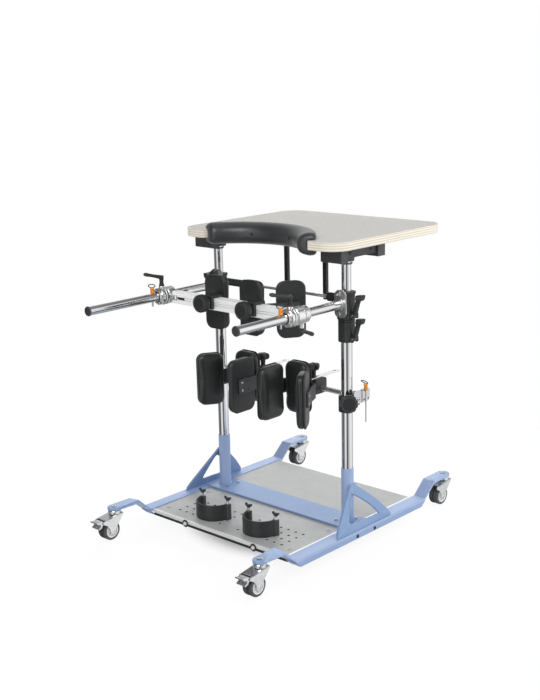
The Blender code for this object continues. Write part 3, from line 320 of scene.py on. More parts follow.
def relief(made, source, strength, distance):
    """Fine bumps from a value; a second relief is laid on the first."""
    tree = made.node_tree
    bump = add_node(tree, "Bump", Strength=strength, Distance=distance)
    tree.links.new(source, bump.inputs["Height"])
    normal = tree.nodes["Principled BSDF"].inputs["Normal"]
    if normal.is_linked:
        tree.links.new(normal.links[0].from_socket, bump.inputs["Normal"])
    tree.links.new(bump.outputs["Normal"], normal)


def edge_highlight(made, colour, edge, start=0.52, end=0.6):
    """Lightens a colour on outer edges: a painted highlight, where edges catch the light; returns the new
    colour.
    """
    shape = add_node(made.node_tree, "NewGeometry")
    mask = spread(made, shape.outputs["Pointiness"], 0.0, 1.0, start, end)
    return blend_colours(made, mask, colour, edge)


print("finish helpers ready")

# %% [markdown]
# ### Metals
# Powder coat is an even colour with orange peel; chrome is a mirror with faint drawn streaks along the tube;
# the steel plates and the aluminium rail are satin, with a grain; the castors are bright zinc. One table
# holds the bare metals.

# %% Metal finishes
FINISH = {}

coat = finish("powder coat", rough=0.34, Coat_Weight=0.25, Coat_Roughness=0.2)
drift = two_tone(coat, noise(coat, 6.0, 3.0), (0.178, 0.276, 0.47), (0.205, 0.308, 0.51))
# outer edges are painted a lighter blue: a painted highlight along the edges
give(coat, "Base Color", edge_highlight(coat, drift, (0.31, 0.41, 0.63)))
give(coat, "Roughness", spread(coat, noise(coat, 40.0), 0.28, 0.42))
relief(coat, noise(coat, 900.0), 0.1, 0.0003)
FINISH["blue"] = coat


def bright_metal(name, colours, rough, grain, stretch, strength, metal=1.0):
    """Metal with a directional grain in colour, roughness and relief; a dulled one is less than all metal."""
    made = finish(name, metal, rough[0])
    lines = noise(made, grain, 4.0, stretch)
    give(made, "Base Color", two_tone(made, lines, *colours))
    give(made, "Roughness", spread(made, noise(made, 25.0, 3.0), *rough))
    relief(made, lines, strength, 0.0002)
    return made


ALONG_X, ALONG_Y, ALONG_Z, ALL_WAYS = (0.3, 14, 14), (5, 0.05, 5), (5, 5, 0.05), (1, 1, 1)
CHROME = ((0.8, 0.81, 0.83), (0.9, 0.9, 0.91))
METALS = {  # name, dark and light colour, roughness, grain, way of the grain, relief, share of metal
    "chrome": ("chrome", CHROME, (0.06, 0.1), 60.0, ALONG_Z, 0.001),
    "chrome_y": ("chrome along Y", CHROME, (0.1, 0.15), 60.0, ALONG_Y, 0.001),
    "steel": ("steel plate", ((0.6, 0.605, 0.6), (0.7, 0.705, 0.7)), (0.3, 0.42), 90.0, (0.4, 12, 6), 0.06),
    "sheet": ("galvanised sheet", ((0.45, 0.46, 0.46), (0.54, 0.55, 0.545)), (0.42, 0.56), 70.0, (0.5, 10, 6),
              0.06, 0.3),
    "anodised": ("anodised aluminium", ((0.86, 0.865, 0.87), (0.92, 0.92, 0.925)), (0.32, 0.44), 80.0,
                 ALONG_X, 0.03, 0.12),
    "polished": ("polished casting", ((0.84, 0.85, 0.86), (0.93, 0.93, 0.94)), (0.09, 0.18), 120.0, ALL_WAYS,
                 0.02, 0.88),
    "alloy": ("drawn aluminium", ((0.74, 0.75, 0.77), (0.84, 0.85, 0.86)), (0.24, 0.36), 80.0, ALONG_X, 0.05),
    "zinc": ("bright zinc", ((0.76, 0.77, 0.78), (0.86, 0.87, 0.87)), (0.12, 0.2), 70.0, ALL_WAYS, 0.006,
             0.9),
    "trim": ("bright trim", ((0.76, 0.77, 0.77), (0.84, 0.84, 0.84)), (0.3, 0.38), 100.0, ALONG_X, 0.006,
             0.25),
    "screw": ("screw steel", ((0.66, 0.67, 0.68), (0.8, 0.81, 0.82)), (0.15, 0.3), 200.0, ALL_WAYS, 0.05),
}
for paint, looks in METALS.items():
    FINISH[paint] = bright_metal(*looks)
print("metals:", ", ".join(FINISH))

# %% [markdown]
# ### Plastics, rubber and pad cover
# Moulded black has a spark-eroded texture and is a very dark grey, never pure black. The pads have a coated
# cover with a fine leather grain and a slight sheen. Tyres are matt with a light bloom.

# %% Plastic, rubber and cover finishes
def moulded(name, dark, light, rough, grain=1400.0, strength=0.12):
    """Textured plastic: cloudy colour, spark-eroded relief, outer edges painted lighter as a highlight."""
    made = finish(name, rough=rough)
    cloud = two_tone(made, noise(made, 18.0, 3.0), dark, light)
    # the lighter colour of outer edges is a painted highlight
    edge = tuple(min(1.0, c * 1.6 + 0.01) for c in light)
    give(made, "Base Color", edge_highlight(made, cloud, edge))
    grit = noise(made, grain)
    give(made, "Roughness", spread(made, grit, rough - 0.08, rough + 0.08))
    relief(made, grit, strength, 0.0002)
    return made


def pad_cover(name, dark, light, edge):
    """Coated cover: a leather grain of small cells, a cloudy black, a slight sheen and a painted highlight on
    its outer edges.
    """
    made = finish(name, rough=0.36, Sheen_Weight=0.1, Sheen_Roughness=0.5, Specular_IOR_Level=0.8)
    cloud = two_tone(made, noise(made, 14.0, 4.0), dark, light)
    cells = pattern(made, "Voronoi", 850.0, feature="DISTANCE_TO_EDGE").outputs["Distance"]
    give(made, "Base Color", edge_highlight(made, cloud, edge, 0.51, 0.56))
    give(made, "Roughness", spread(made, cells, 0.42, 0.28, 0.0, 0.3))
    relief(made, cells, 0.22, 0.0003)
    relief(made, noise(made, 120.0, 3.0), 0.1, 0.0006)
    return made


MOULDINGS = {  # name, dark and light colour, roughness, grain, relief
    "black": ("black plastic", (0.015, 0.016, 0.017), (0.024, 0.025, 0.026), 0.4),
    "bracket": ("dark bracket", (0.03, 0.031, 0.034), (0.045, 0.046, 0.05), 0.48),
    "face": ("knob face", (0.066, 0.073, 0.074), (0.084, 0.092, 0.093), 0.34),
    "rubber": ("black rubber", (0.01, 0.01, 0.01), (0.018, 0.018, 0.018), 0.68, 900.0),
    "tyre": ("tyre rubber", (0.04, 0.041, 0.043), (0.062, 0.063, 0.066), 0.62, 700.0),
    "hub": ("grey hub", (0.5, 0.51, 0.52), (0.6, 0.61, 0.62), 0.4),
    "orange": ("orange grip", (0.62, 0.2, 0.02), (0.7, 0.26, 0.03), 0.32, 900.0, 0.06),
}
# the colour of the edges is a painted highlight on the covers' outer edges
COVERS = {  # name, dark and light colour, colour of the edges
    "cloth": ("pad cover", (0.0055, 0.0068, 0.0072), (0.0105, 0.0122, 0.0128), (0.05, 0.054, 0.055)),
    # the roll's cover is the pads' cover painted lighter: painted top light
    "roll": ("roll cover", (0.024, 0.026, 0.028), (0.036, 0.038, 0.041), (0.05, 0.053, 0.056)),
}
for paint, looks in MOULDINGS.items():
    FINISH[paint] = moulded(*looks)
for paint, looks in COVERS.items():
    FINISH[paint] = pad_cover(*looks)
print(len(MOULDINGS), "mouldings and", len(COVERS), "covers")

# %% [markdown]
# ### Table board
# The board is birch plywood under a grey speckled laminate. One material does both: the face normal says
# where the laminate is, and on the edge the height says which ply shows.

# %% Board finish
PLY = 0.0034
WAVE_FIT = 6.3  # with this, one wave of the pattern covers two plies
SPECKS = ((0.0, (0.37, 0.36, 0.335)), (0.5, (0.55, 0.535, 0.5)), (1.0, (0.645, 0.63, 0.595)))
PLIES = ((0.0, (0.54, 0.48, 0.39)), (0.3, (0.73, 0.69, 0.605)), (1.0, (0.84, 0.81, 0.735)))

board = finish("laminate on birch", rough=0.42)
fleck = noise(board, 260.0, 3.0)
laminate = shades(board, pattern(board, "Voronoi", 420.0).outputs["Color"], SPECKS)
laminate = blend_colours(board, spread(board, fleck, 0.0, 0.35), laminate, (0.615, 0.6, 0.56))
ply = pattern(board, "Wave", 1.0 / PLY / WAVE_FIT, bands_direction="Z", Distortion=0.15,
              Detail=2.0).outputs["Fac"]
grain = noise(board, 90.0, 5.0, (1, 1, 8))
wood = blend_colours(board, spread(board, grain, 0.0, 0.5), shades(board, ply, PLIES), (0.7, 0.62, 0.49))
facing = add_node(board.node_tree, "NewGeometry")
split = add_node(board.node_tree, "SeparateXYZ")
flat = add_node(board.node_tree, "Math", operation="ABSOLUTE")
wire(board.node_tree, (facing, "True Normal", split, "Vector"), (split, "Z", flat, 0))
is_face = spread(board, flat.outputs[0], 0.0, 1.0, 0.8, 0.9)
give(board, "Base Color", blend_colours(board, is_face, wood, laminate))
give(board, "Roughness", spread(board, fleck, 0.36, 0.5))
relief(board, fleck, 0.08, 0.0003)
relief(board, ply, 0.05, 0.0003)
FINISH["board"] = board
print(len(FINISH), "finishes")

# %% [markdown]
# ## Modelling helpers
# All lengths below are measured from the posts, as in the part's own source; the finished part is centred on
# its overall length, so every piece moves back by the same amount at the end. A bmesh starts from a few
# points or a primitive, and operators shape it. The commonest start is a flat outline pulled along an axis.

# %% Pulled outlines
POST_Y = 0.035
AXES = {"X": Vector((1, 0, 0)), "Y": Vector((0, 1, 0)), "Z": Vector((0, 0, 1))}
MERGE = 1e-6


def outward(bm):
    """Merges doubles and turns all faces outwards."""
    bmesh.ops.remove_doubles(bm, verts=bm.verts, dist=MERGE)
    bmesh.ops.recalc_face_normals(bm, faces=bm.faces)
    return bm


def soften(bm, width, segments=2, angle=30):
    """Rounds every edge that is sharper than the angle."""
    sharp = [e for e in bm.edges if len(e.link_faces) == 2 and e.calc_face_angle(0) > math.radians(angle)]
    bmesh.ops.bevel(bm, geom=sharp, offset=width, segments=segments, profile=0.5, affect="EDGES", material=-1)
    return bm


def lifted(bm, faces, move):
    """Extrudes faces and moves the new ones."""
    raised = bmesh.ops.extrude_face_region(bm, geom=faces)["geom"]
    bmesh.ops.translate(bm, vec=move, verts=[v for v in raised if isinstance(v, bmesh.types.BMVert)])


def extruded(outline, low, high, axis="Z"):
    """A flat outline pulled along an axis; its two values are the other two axes in order."""
    place = {"X": lambda a, b: (low, a, b), "Y": lambda a, b: (a, low, b), "Z": lambda a,
             b: (a, b, low)}[axis]
    bm = bmesh.new()
    face = bm.faces.new([bm.verts.new(place(a, b)) for a, b in outline])
    lifted(bm, [face], AXES[axis] * (high - low))
    return outward(bm)


def block(x, y, z):
    """A block between the pairs of limits."""
    return extruded([(x[0], y[0]), (x[1], y[0]), (x[1], y[1]), (x[0], y[1])], z[0], z[1])


def slab(outline, low, high, axis, edge, segments=2, angle=30):
    """A pulled outline with softened edges."""
    return soften(extruded(outline, low, high, axis), edge, segments, angle)


def about(middle, half):
    """The limits that lie evenly round a middle."""
    return middle - half, middle + half


def arc(centre, radius, first, last, steps):
    """Points on an arc, angles in degrees."""
    angles = [math.radians(first + (last - first) * i / steps) for i in range(steps + 1)]
    return [(centre[0] + radius * math.cos(a), centre[1] + radius * math.sin(a)) for a in angles]


def rounded(a, b, radius, steps=6):
    """A rectangle between the limits a and b with round corners."""
    points = []
    for x, y, start in ((a[1], b[1], 0), (a[0], b[1], 90), (a[0], b[0], 180), (a[1], b[0], 270)):
        middle = (x - math.copysign(radius, x - sum(a) / 2), y - math.copysign(radius, y - sum(b) / 2))
        points += arc(middle, radius, start, start + 90, steps)
    return points


print("every piece moves back by", POST_Y, "m at the end")

# %% [markdown]
# Much of this frame is turned: tubes, knobs, screws and wheels. A profile is spun round Z and then laid
# along its direction.

# %% Turned forms
UP, TO_FRONT, TO_BACK, TO_LEFT, TO_RIGHT = (0, 0, 1), (0, -1, 0), (0, 1, 0), (-1, 0, 0), (1, 0, 0)
EASE = 0.12  # a bar's eased end, as a share of its radius


def aimed(bm, origin, way=UP):
    """Moves a shape built round Z so that its axis starts at origin and points along way."""
    turn = AXES["Z"].rotation_difference(Vector(way)).to_matrix().to_4x4()
    bm.transform(Matrix.Translation(origin) @ turn)
    return bm


def lathe(profile, origin=(0, 0, 0), way=UP, steps=48, ring=False):
    """A profile of (radius, height) spun round an axis; a ring's profile closes on itself."""
    bm = bmesh.new()
    row = [bm.verts.new((radius, 0, height)) for radius, height in profile]
    line = [bm.edges.new(pair) for pair in zip(row, row[1:])]
    if ring:
        line.append(bm.edges.new((row[-1], row[0])))
    bmesh.ops.spin(bm, geom=row + line, cent=(0, 0, 0), axis=(0, 0, 1), angle=2 * math.pi, steps=steps,
                   use_merge=True)
    return aimed(outward(bm), origin, way)


def bar(start, end, radius, steps=32, ease=0.0):
    """A round bar between two points, with eased ends."""
    start, end = Vector(start), Vector(end)
    long = (end - start).length
    ease = ease or radius * EASE
    profile = [(0, 0), (radius - ease, 0), (radius, ease), (radius, long - ease), (radius - ease, long),
               (0, long)]
    return lathe(profile, start, end - start, steps)


print("a bar has", len(bar((0, 0, 0), UP, EASE).faces), "faces")

# %% [markdown]
# Weld beads, rings and handles follow a path: a curve with a round section, made a mesh at once, so that it
# can be joined. Most shapes are built on the right and mirrored.

# %% Swept, joined and mirrored forms
SIDES = ("left", "right")


def swept(points, radius, radii=None, closed=False, sides=3):
    """A round wire along a path, as a mesh; radii thin or thicken it point by point."""
    line = bpy.data.curves.new("wire", "CURVE")
    line.dimensions = "3D"
    line.bevel_depth, line.bevel_resolution, line.use_fill_caps = radius, sides, not closed
    spline = line.splines.new("POLY")
    spline.points.add(len(points) - 1)
    for index, (point, spot) in enumerate(zip(spline.points, points)):
        point.co = (*spot, 1)
        point.radius = radii[index] if radii else 1.0
    spline.use_cyclic_u = closed
    holder = bpy.data.objects.new("wire", line)
    scene.collection.objects.link(holder)
    mesh = bpy.data.meshes.new_from_object(holder.evaluated_get(bpy.context.evaluated_depsgraph_get()))
    bm = bmesh.new()
    bm.from_mesh(mesh)
    bpy.data.objects.remove(holder)
    bpy.data.curves.remove(line)
    bpy.data.meshes.remove(mesh)
    return outward(bm)


def together(*shapes):
    """Several shapes in one bmesh."""
    whole = bmesh.new()
    for bm in shapes:
        mesh = bpy.data.meshes.new("loose")
        bm.to_mesh(mesh)
        bm.free()
        whole.from_mesh(mesh)
        bpy.data.meshes.remove(mesh)
    return whole


def mirrored_to(bm, side):
    """A shape built on the right, mirrored when it belongs on the left."""
    if side == "left":
        bmesh.ops.scale(bm, vec=(-1, 1, 1), verts=bm.verts)
        bmesh.ops.reverse_faces(bm, faces=bm.faces)
    return bm


def on_side(side, x):
    """A place on the right, or its mirror image."""
    return -x if side == "left" else x


print("sides:", SIDES)

# %% [markdown]
# `piece` turns a bmesh into an object that rides on a body, gives it its finish, and says which CAD
# nodes it stands for. `pair` does that for both sides.

# %% From shape to piece
OWN_SLOT = ("blue", "chrome", "steel", "alloy", "zinc", "black", "tyre", "orange", "cloth", "board")
SLOT_OF = {paint: paint for paint in OWN_SLOT}
SLOT_OF.update(chrome_y="chrome", sheet="steel", trim="steel", anodised="alloy", polished="alloy",
               screw="zinc", face="black", bracket="black", rubber="black", roll="cloth")
dressed = set()


def holder_of(bm, name):
    """A new object that holds the shape."""
    mesh = bpy.data.meshes.new(name)
    bm.to_mesh(mesh)
    obj = bpy.data.objects.new(name, mesh)
    scene.collection.objects.link(obj)
    return obj


def piece(name, bm, body, paint, nodes=(), crease=35, levels=0):
    """Makes the object: places it, shades it, paints it and lets it ride; nodes are what it stands for."""
    bmesh.ops.translate(bm, vec=(0, POST_Y, 0), verts=bm.verts)
    obj = holder_of(bm, name)
    bm.free()
    mesh = obj.data
    mesh.polygons.foreach_set("use_smooth", [True] * len(mesh.polygons))
    mesh.set_sharp_from_angle(angle=math.radians(crease))
    mesh.materials.append(FINISH[paint])
    if levels:
        round_off = obj.modifiers.new("round", "SUBSURF")
        round_off.levels = round_off.render_levels = levels
    even = obj.modifiers.new("even", "WEIGHTED_NORMAL")
    even.keep_sharp = True
    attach(obj, body)
    if nodes:
        nodes = (nodes,) if isinstance(nodes, str) else nodes
        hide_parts(*nodes)
        dressed.update(nodes)
    return obj


def pair(name, shape, body, paint, node=""):
    """A piece built on the right and its mirror image; a body's name that ends in _ takes the side too."""
    for side in SIDES:
        rides_on = body + side if body.endswith("_") else body
        piece(name + side, mirrored_to(shape.copy(), side), rides_on, paint, node and node + side)
    shape.free()


def report(what):
    """Prints how far the dressing has come."""
    print(what + ":", len(dressed), "nodes dressed so far")


print(len(SLOT_OF), "finishes have a slot")

# %% [markdown]
# ## Base
# Each side of the base is a weldment: a flat bar with round ends that cranks up to the castors, a flange
# along its outer edge, a leaning gusset with a window, and a sleeve that takes the post. The bar starts as a
# flat strip; it is cut across at the bends, and then its ends are simply lifted.

# %% Rails and flanges
STEM_X, STEM_Y, BAR_WIDE, BAR_THICK = 0.291, 0.42, 0.04, 0.008
ARM_TOP, RAIL_TOP, FLANGE_LOW, FLANGE_THICK = 0.093, 0.049, 0.027, 0.006
CRANK_TOP_Y, CRANK_FOOT_Y = 0.343, 0.296
INNER_EDGE, OUTER_EDGE = STEM_X - BAR_WIDE / 2, STEM_X + BAR_WIDE / 2


def cut_across(bm, spot, normal):
    """Adds edges where a plane crosses the shape."""
    bmesh.ops.bisect_plane(bm, geom=bm.verts[:] + bm.edges[:] + bm.faces[:], plane_co=spot, plane_no=normal)


def rail():
    """The cranked flat bar."""
    outline = arc((STEM_X, STEM_Y), BAR_WIDE / 2, 0, 180, 20)
    outline += arc((STEM_X, -STEM_Y), BAR_WIDE / 2, 180, 360, 20)
    strip = extruded(outline, RAIL_TOP - BAR_THICK, RAIL_TOP)
    for y in (-CRANK_TOP_Y, -CRANK_FOOT_Y, CRANK_FOOT_Y, CRANK_TOP_Y):
        cut_across(strip, (0, y, 0), (0, 1, 0))
    for vert in strip.verts:
        climb = (abs(vert.co.y) - CRANK_FOOT_Y) / (CRANK_TOP_Y - CRANK_FOOT_Y)
        vert.co.z += (ARM_TOP - RAIL_TOP) * min(max(climb, 0.0), 1.0)
    return soften(strip, 0.0016, 3, 25)


def flange():
    """The outer flange, closed at both ends by the foot of the crank."""
    slope = (CRANK_TOP_Y - CRANK_FOOT_Y) / (ARM_TOP - RAIL_TOP)
    foot = CRANK_FOOT_Y - (RAIL_TOP - FLANGE_LOW) * slope + BAR_THICK
    top = CRANK_FOOT_Y + BAR_THICK * 0.5
    high = RAIL_TOP - BAR_THICK * 0.6
    outline = [(-foot, FLANGE_LOW), (foot, FLANGE_LOW), (top, high), (-top, high)]
    shapes = [slab(outline, OUTER_EDGE - FLANGE_THICK, OUTER_EDGE - 0.0001, "X", 0.0012)]
    for sign in (-1, 1):
        shut = [(sign * (foot - FLANGE_THICK), FLANGE_LOW), (sign * foot, FLANGE_LOW)]
        shut += [(sign * top, high), (sign * (top - FLANGE_THICK), high)]
        shapes.append(slab(shut, INNER_EDGE + 0.0004, OUTER_EDGE - 0.0002, "X", 0.001))
    return together(*shapes)


print("base rail", round(2 * STEM_Y + BAR_WIDE, 3), "m long")

# %% [markdown]
# The gusset is a plate with a window. Bridging two loops gives evener faces than a boolean. A weld bead is a
# wire that swells and narrows along its run.

# %% Gussets and sleeves
POST_X, SLEEVE_R, SLEEVE_LOW, SLEEVE_TOP, SLEEVE_BORE = 0.247, 0.018, 0.0556, 0.218, 0.0165
GUSSET_FOOT_X, GUSSET_TOP, GUSSET_THICK = 0.305, 0.165, 0.005


def smoothed(points, times=2, share=0.25):
    """Cuts the corners of a closed outline, so that it runs in curves."""
    for _ in range(times):
        cut = []
        for i, point in enumerate(points):
            here, after = Vector(point), Vector(points[(i + 1) % len(points)])
            cut += [tuple(here.lerp(after, share)), tuple(here.lerp(after, 1 - share))]
        points = cut
    return points


def framed_plate(outline, window, thick):
    """A plate with a window: two loops are bridged and the ring is given its thickness."""
    bm = bmesh.new()
    for loop in (outline, window):
        row = [bm.verts.new((a, b, -thick / 2)) for a, b in loop]
        for i in range(len(row)):
            bm.edges.new((row[i - 1], row[i]))
    bmesh.ops.bridge_loops(bm, edges=bm.edges[:])
    lifted(bm, bm.faces[:], (0, 0, thick))
    return outward(bm)


def gusset():
    """The leaning plate between rail and sleeve."""
    rise = Vector((POST_X + SLEEVE_R - GUSSET_FOOT_X, 0, GUSSET_TOP - RAIL_TOP)).normalized()
    long = (GUSSET_TOP - RAIL_TOP) / rise.z
    outline = [(-0.118, 0.0), (-0.118, -0.004), (0.0, -0.004), (0.126, -0.004), (0.126, 0.002),
               (0.125, 0.012)]
    outline += [(0.11, 0.03), (0.088, 0.055), (0.06, 0.082), (0.034, 0.104), (0.016, long - 0.004)]
    outline += [(0.012, long + 0.007), (-0.012, long + 0.007), (-0.017, long - 0.002), (-0.068, 0.066),
                (-0.116, 0.014)]
    window = [(-0.06, 0.024), (0.004, 0.022), (0.072, 0.019), (0.079, 0.022), (0.06, 0.046), (0.034, 0.071)]
    window += [(0.004, 0.094), (-0.014, 0.105), (-0.022, 0.1), (-0.044, 0.058)]
    plate = framed_plate(smoothed(outline, 2, 0.2), smoothed(window, 2, 0.22), GUSSET_THICK)
    across = Vector((0, 1, 0))
    lean = Matrix((across, rise, across.cross(rise))).transposed().to_4x4()
    plate.transform(Matrix.Translation((GUSSET_FOOT_X, 0, RAIL_TOP)) @ lean)
    return soften(plate, 0.0012, 3, 50)


def weld(points, radius, closed=False):
    """A weld bead: a wire that swells and narrows along its run."""
    return swept(points, radius, [1.0 + 0.28 * math.sin(2.1 * i) for i in range(len(points))], closed, 2)


def sleeve():
    """The tube that takes the post, with the weld round its foot."""
    profile = [(SLEEVE_BORE, SLEEVE_LOW), (SLEEVE_R, SLEEVE_LOW), (SLEEVE_R, SLEEVE_TOP - 0.0012)]
    profile += [(SLEEVE_R - 0.001, SLEEVE_TOP), (SLEEVE_BORE, SLEEVE_TOP)]
    tube = lathe(profile, (POST_X, 0, 0), ring=True)
    foot = [(POST_X + x, y, SLEEVE_LOW + 0.001) for x, y in arc((0, 0), SLEEVE_R + 0.0012, 0, 351, 39)]
    return together(tube, weld(foot, 0.0021, True))


pair("base_rail_", together(rail(), flange(), gusset(), sleeve()), "base", "blue", "side_frame_")
# a thin black strip along the gusset's foot on the rail: a painted shadow line
gusset_foot_shade = block((GUSSET_FOOT_X + 0.0022, GUSSET_FOOT_X + 0.0042), (-0.115, 0.123),
             (RAIL_TOP - 0.0004, RAIL_TOP + 0.0016))
pair("gusset_foot_shade_", soften(gusset_foot_shade, 0.0005), "base", "rubber")
report("base rails")

# %% [markdown]
# Screws and plugs are small, but they are what tells a made thing from a model. A few lathe profiles cover
# them: a countersunk disc with a socket, a domed button head, a hexagon head on its washer, and a flat black
# plug.

# %% Screws, bolts and plugs
SHOULDER, CROWN, SOCKET_DEEP = 0.45, 0.82, 0.6  # of a button head, as shares of its height, radius and height


def socket_screw(radius, tall, spot, way=UP, hollow=0.45):
    """A button head with a sunk socket; hollow is the socket's share of the radius."""
    head = lathe([(0, 0), (radius, 0), (radius, tall * SHOULDER), (radius * CROWN, tall), (0, tall)],
                 steps=24)
    crown = [f for f in head.faces if f.calc_center_median().z > tall * 0.99]
    bmesh.ops.dissolve_faces(head, faces=crown)
    top = max(head.faces, key=lambda f: f.calc_center_median().z)
    bmesh.ops.inset_individual(head, faces=[top], thickness=radius * (CROWN - hollow))
    lifted(head, [top], (0, 0, -tall * SOCKET_DEEP))
    bmesh.ops.delete(head, geom=[top], context="FACES")
    return aimed(outward(head), spot, way)


def hex_head(across, tall, spot, way=UP, washer=0.0):
    """A hexagon head, on a washer when one is given."""
    head = slab(arc((0, 0), across / math.sqrt(3), 0, 300, 5), 0.0008, tall, "Z", across * 0.05)
    shapes = [head]
    if washer:
        shapes.append(lathe([(0, 0), (washer, 0), (washer, 0.0006), (washer - 0.0004, 0.001), (0, 0.001)],
                            steps=28))
    return aimed(together(*shapes), spot, way)


def plug(radius, spot, way, tall=0.0012):
    """A pressed-in plug with a dished face."""
    profile = [(0, -0.002), (radius, -0.002), (radius, tall * 0.5), (radius * 0.9, tall),
               (radius * 0.6, tall * 0.6), (0, tall * 0.5)]
    return lathe(profile, spot, way, 28)


print("a button head's crown is", CROWN, "of its width")

# %% [markdown]
# On the base they close the castors' stems, hold the cross bar and hold the footplate's lip.

# %% Fasteners of the base
DISC_R, DISC_TALL, DISC_HOLLOW = 0.0088, 0.0016, 0.4
PLUG_R, PLUG_Z, PLUG_ROW = 0.0052, 0.035, (-0.0345, 0.045)
CROSS_BOLTS, CROSS_BOLT_Z = ((0.2558, 0.0276), (0.2177, -0.0174), (0.2177, 0.0276)), 0.0553
PLATE_SCREWS, PLATE_SCREW_Z = ((0.2416, -0.0797), (0.2442, -0.247)), 0.0486
LIP_BOLT_ROW, LIP_BOLT_Y, GROMMET_Y, LIP_BOLT_Z = (-0.13, 0.143), -0.289, -0.2878, 0.0396
GROMMET = [(0.0064, 0), (0.0112, 0), (0.0112, 0.0018), (0.0098, 0.0026), (0.0064, 0.0026)]

bright, dark, bolts = [], [], []
for sign in (-1, 1):
    for y in (-STEM_Y, STEM_Y):
        bright.append(socket_screw(DISC_R, DISC_TALL, (sign * STEM_X, y, ARM_TOP - 0.0002),
                                   hollow=DISC_HOLLOW))
    for y in PLUG_ROW:
        dark.append(plug(PLUG_R, (sign * OUTER_EDGE, y, PLUG_Z), (sign, 0, 0)))
    for x, y in CROSS_BOLTS:
        bright.append(hex_head(0.009, 0.005, (sign * x, y, CROSS_BOLT_Z), washer=0.0072))
    for x, y in PLATE_SCREWS:
        bright.append(socket_screw(0.006, 0.0018, (sign * x, y, PLATE_SCREW_Z)))
for x in LIP_BOLT_ROW:
    bolts.append(hex_head(0.0078, 0.005, (x, LIP_BOLT_Y, LIP_BOLT_Z), TO_FRONT, 0.0062))
    dark.append(lathe(GROMMET, (x, GROMMET_Y, LIP_BOLT_Z), TO_FRONT, 32, ring=True))
print(len(bright), "bright heads,", len(bolts), "lip bolts and", len(dark), "plugs and grommets")
piece("base_screws", together(*bright), "base", "screw")
piece("footplate_bolts", together(*bolts), "base", "trim")
piece("base_plugs", together(*dark), "base", "rubber")

# %% [markdown]
# The footplate is folded sheet with punched holes under the heel cups. They are cut with one boolean,
# because round holes are the look of the plate, and a black sleeve in each hole is painted shade that keeps
# them dark.

# %% Footplate sheet
PLATE_TOP, PLATE_THICK, PLATE_FRONT, PLATE_BACK = 0.0487, 0.004, -0.286, 0.278
LIP_LOW, STRIP_LOW = 0.0385, 0.0305
HOLE_R, HOLE_STEP_X, HOLE_STEP_Y, HOLE_FIRST_X, HOLE_FIRST_Y = 0.0042, 0.028, 0.0305, 0.0365, -0.1475
HOLE_COLUMNS, HOLE_ROWS = 7, 4


def pierced(bm, cutters):
    """The shape less its cutters."""
    holders = [holder_of(shape, "cut") for shape in (bm, cutters)]
    bm.free()
    cutters.free()
    change = holders[0].modifiers.new("cut", "BOOLEAN")
    change.operation, change.solver, change.object = "DIFFERENCE", "EXACT", holders[1]
    done = bmesh.new()
    done.from_object(holders[0], bpy.context.evaluated_depsgraph_get())
    for holder in holders:
        mesh = holder.data
        bpy.data.objects.remove(holder)
        bpy.data.meshes.remove(mesh)
    return outward(done)


plate_half = INNER_EDGE - 0.0004
fold = [(PLATE_BACK, PLATE_TOP - PLATE_THICK), (PLATE_BACK, PLATE_TOP), (PLATE_FRONT, PLATE_TOP),
        (PLATE_FRONT, LIP_LOW)]
fold += [(PLATE_FRONT + PLATE_THICK, LIP_LOW), (PLATE_FRONT + PLATE_THICK, PLATE_TOP - PLATE_THICK)]
sheet_plate = slab(fold, -plate_half, plate_half, "X", 0.0011, 3)
spots = []
for column in range(HOLE_COLUMNS):
    for row in range(HOLE_ROWS):
        for sign in (-1, 1):
            x = sign * (HOLE_FIRST_X + column * HOLE_STEP_X)
            y = HOLE_FIRST_Y - row * HOLE_STEP_Y
            spots.append((x, y, 0))
punches = [lathe([(0, 0), (HOLE_R, 0), (HOLE_R, 0.08), (0, 0.08)], spot, steps=20) for spot in spots]
piece("footplate_sheet", pierced(sheet_plate, together(*punches)), "base", "sheet", "footplate")
# a black sleeve in each hole: painted shade for the dark under the plate
low, high, bore = PLATE_TOP - PLATE_THICK, PLATE_TOP - 0.0003, HOLE_R - 0.0005
plate_hole_shade = [(bore, low), (HOLE_R - 0.0001, low), (HOLE_R - 0.0001, high), (bore, high)]
piece("footplate_hole_shade", together(*[lathe(plate_hole_shade, spot, steps=20, ring=True) for spot in spots]), "base",
      "rubber")
print(len(spots), "holes in the footplate")

# %% [markdown]
# The front lip has a bright nose, with a rubber strip below it. The blue cross bar lies over the sheet.

# %% Footplate edges and cross bar
CROSS_HALF, CROSS_WIDE, CROSS_LOW, CROSS_TOP = 0.2835, 0.095, 0.0493, 0.0553

front, top = PLATE_FRONT, PLATE_TOP
nose = [(front - 0.0002, LIP_LOW + 0.0003), (front - 0.0014, LIP_LOW + 0.0009)]
nose += [(front - 0.0018, LIP_LOW + 0.004), (front - 0.0016, top - 0.0012), (front - 0.0004, top + 0.0002)]
nose += [(front + 0.005, top + 0.0004), (front + 0.005, top - 0.0002), (front - 0.0002, top - 0.0012)]
piece("footplate_edge", slab(nose, -plate_half, plate_half, "X", 0.0003, 2, 20), "base", "trim")
# a light strip along the plate's right edge only: a painted highlight by the right rail
edges = []
for start, end in ((PLATE_FRONT + 0.0056, -CROSS_WIDE / 2 - 0.001),
                   (CROSS_WIDE / 2 + 0.001, PLATE_BACK - 0.002)):
    edges.append(soften(block((plate_half - 0.0075, plate_half - 0.0006), (start, end),
                              (PLATE_TOP - 0.0003, PLATE_TOP + 0.0006)), 0.0003))
piece("footplate_side_highlight", together(*edges), "base", "anodised")
lip = rounded((PLATE_FRONT - 0.0018, PLATE_FRONT + 0.0078), (STRIP_LOW, LIP_LOW - 0.0002), 0.0028)
piece("footplate_strip", slab(lip, 0.004 - plate_half, plate_half - 0.004, "X", 0.0008), "base", "rubber")

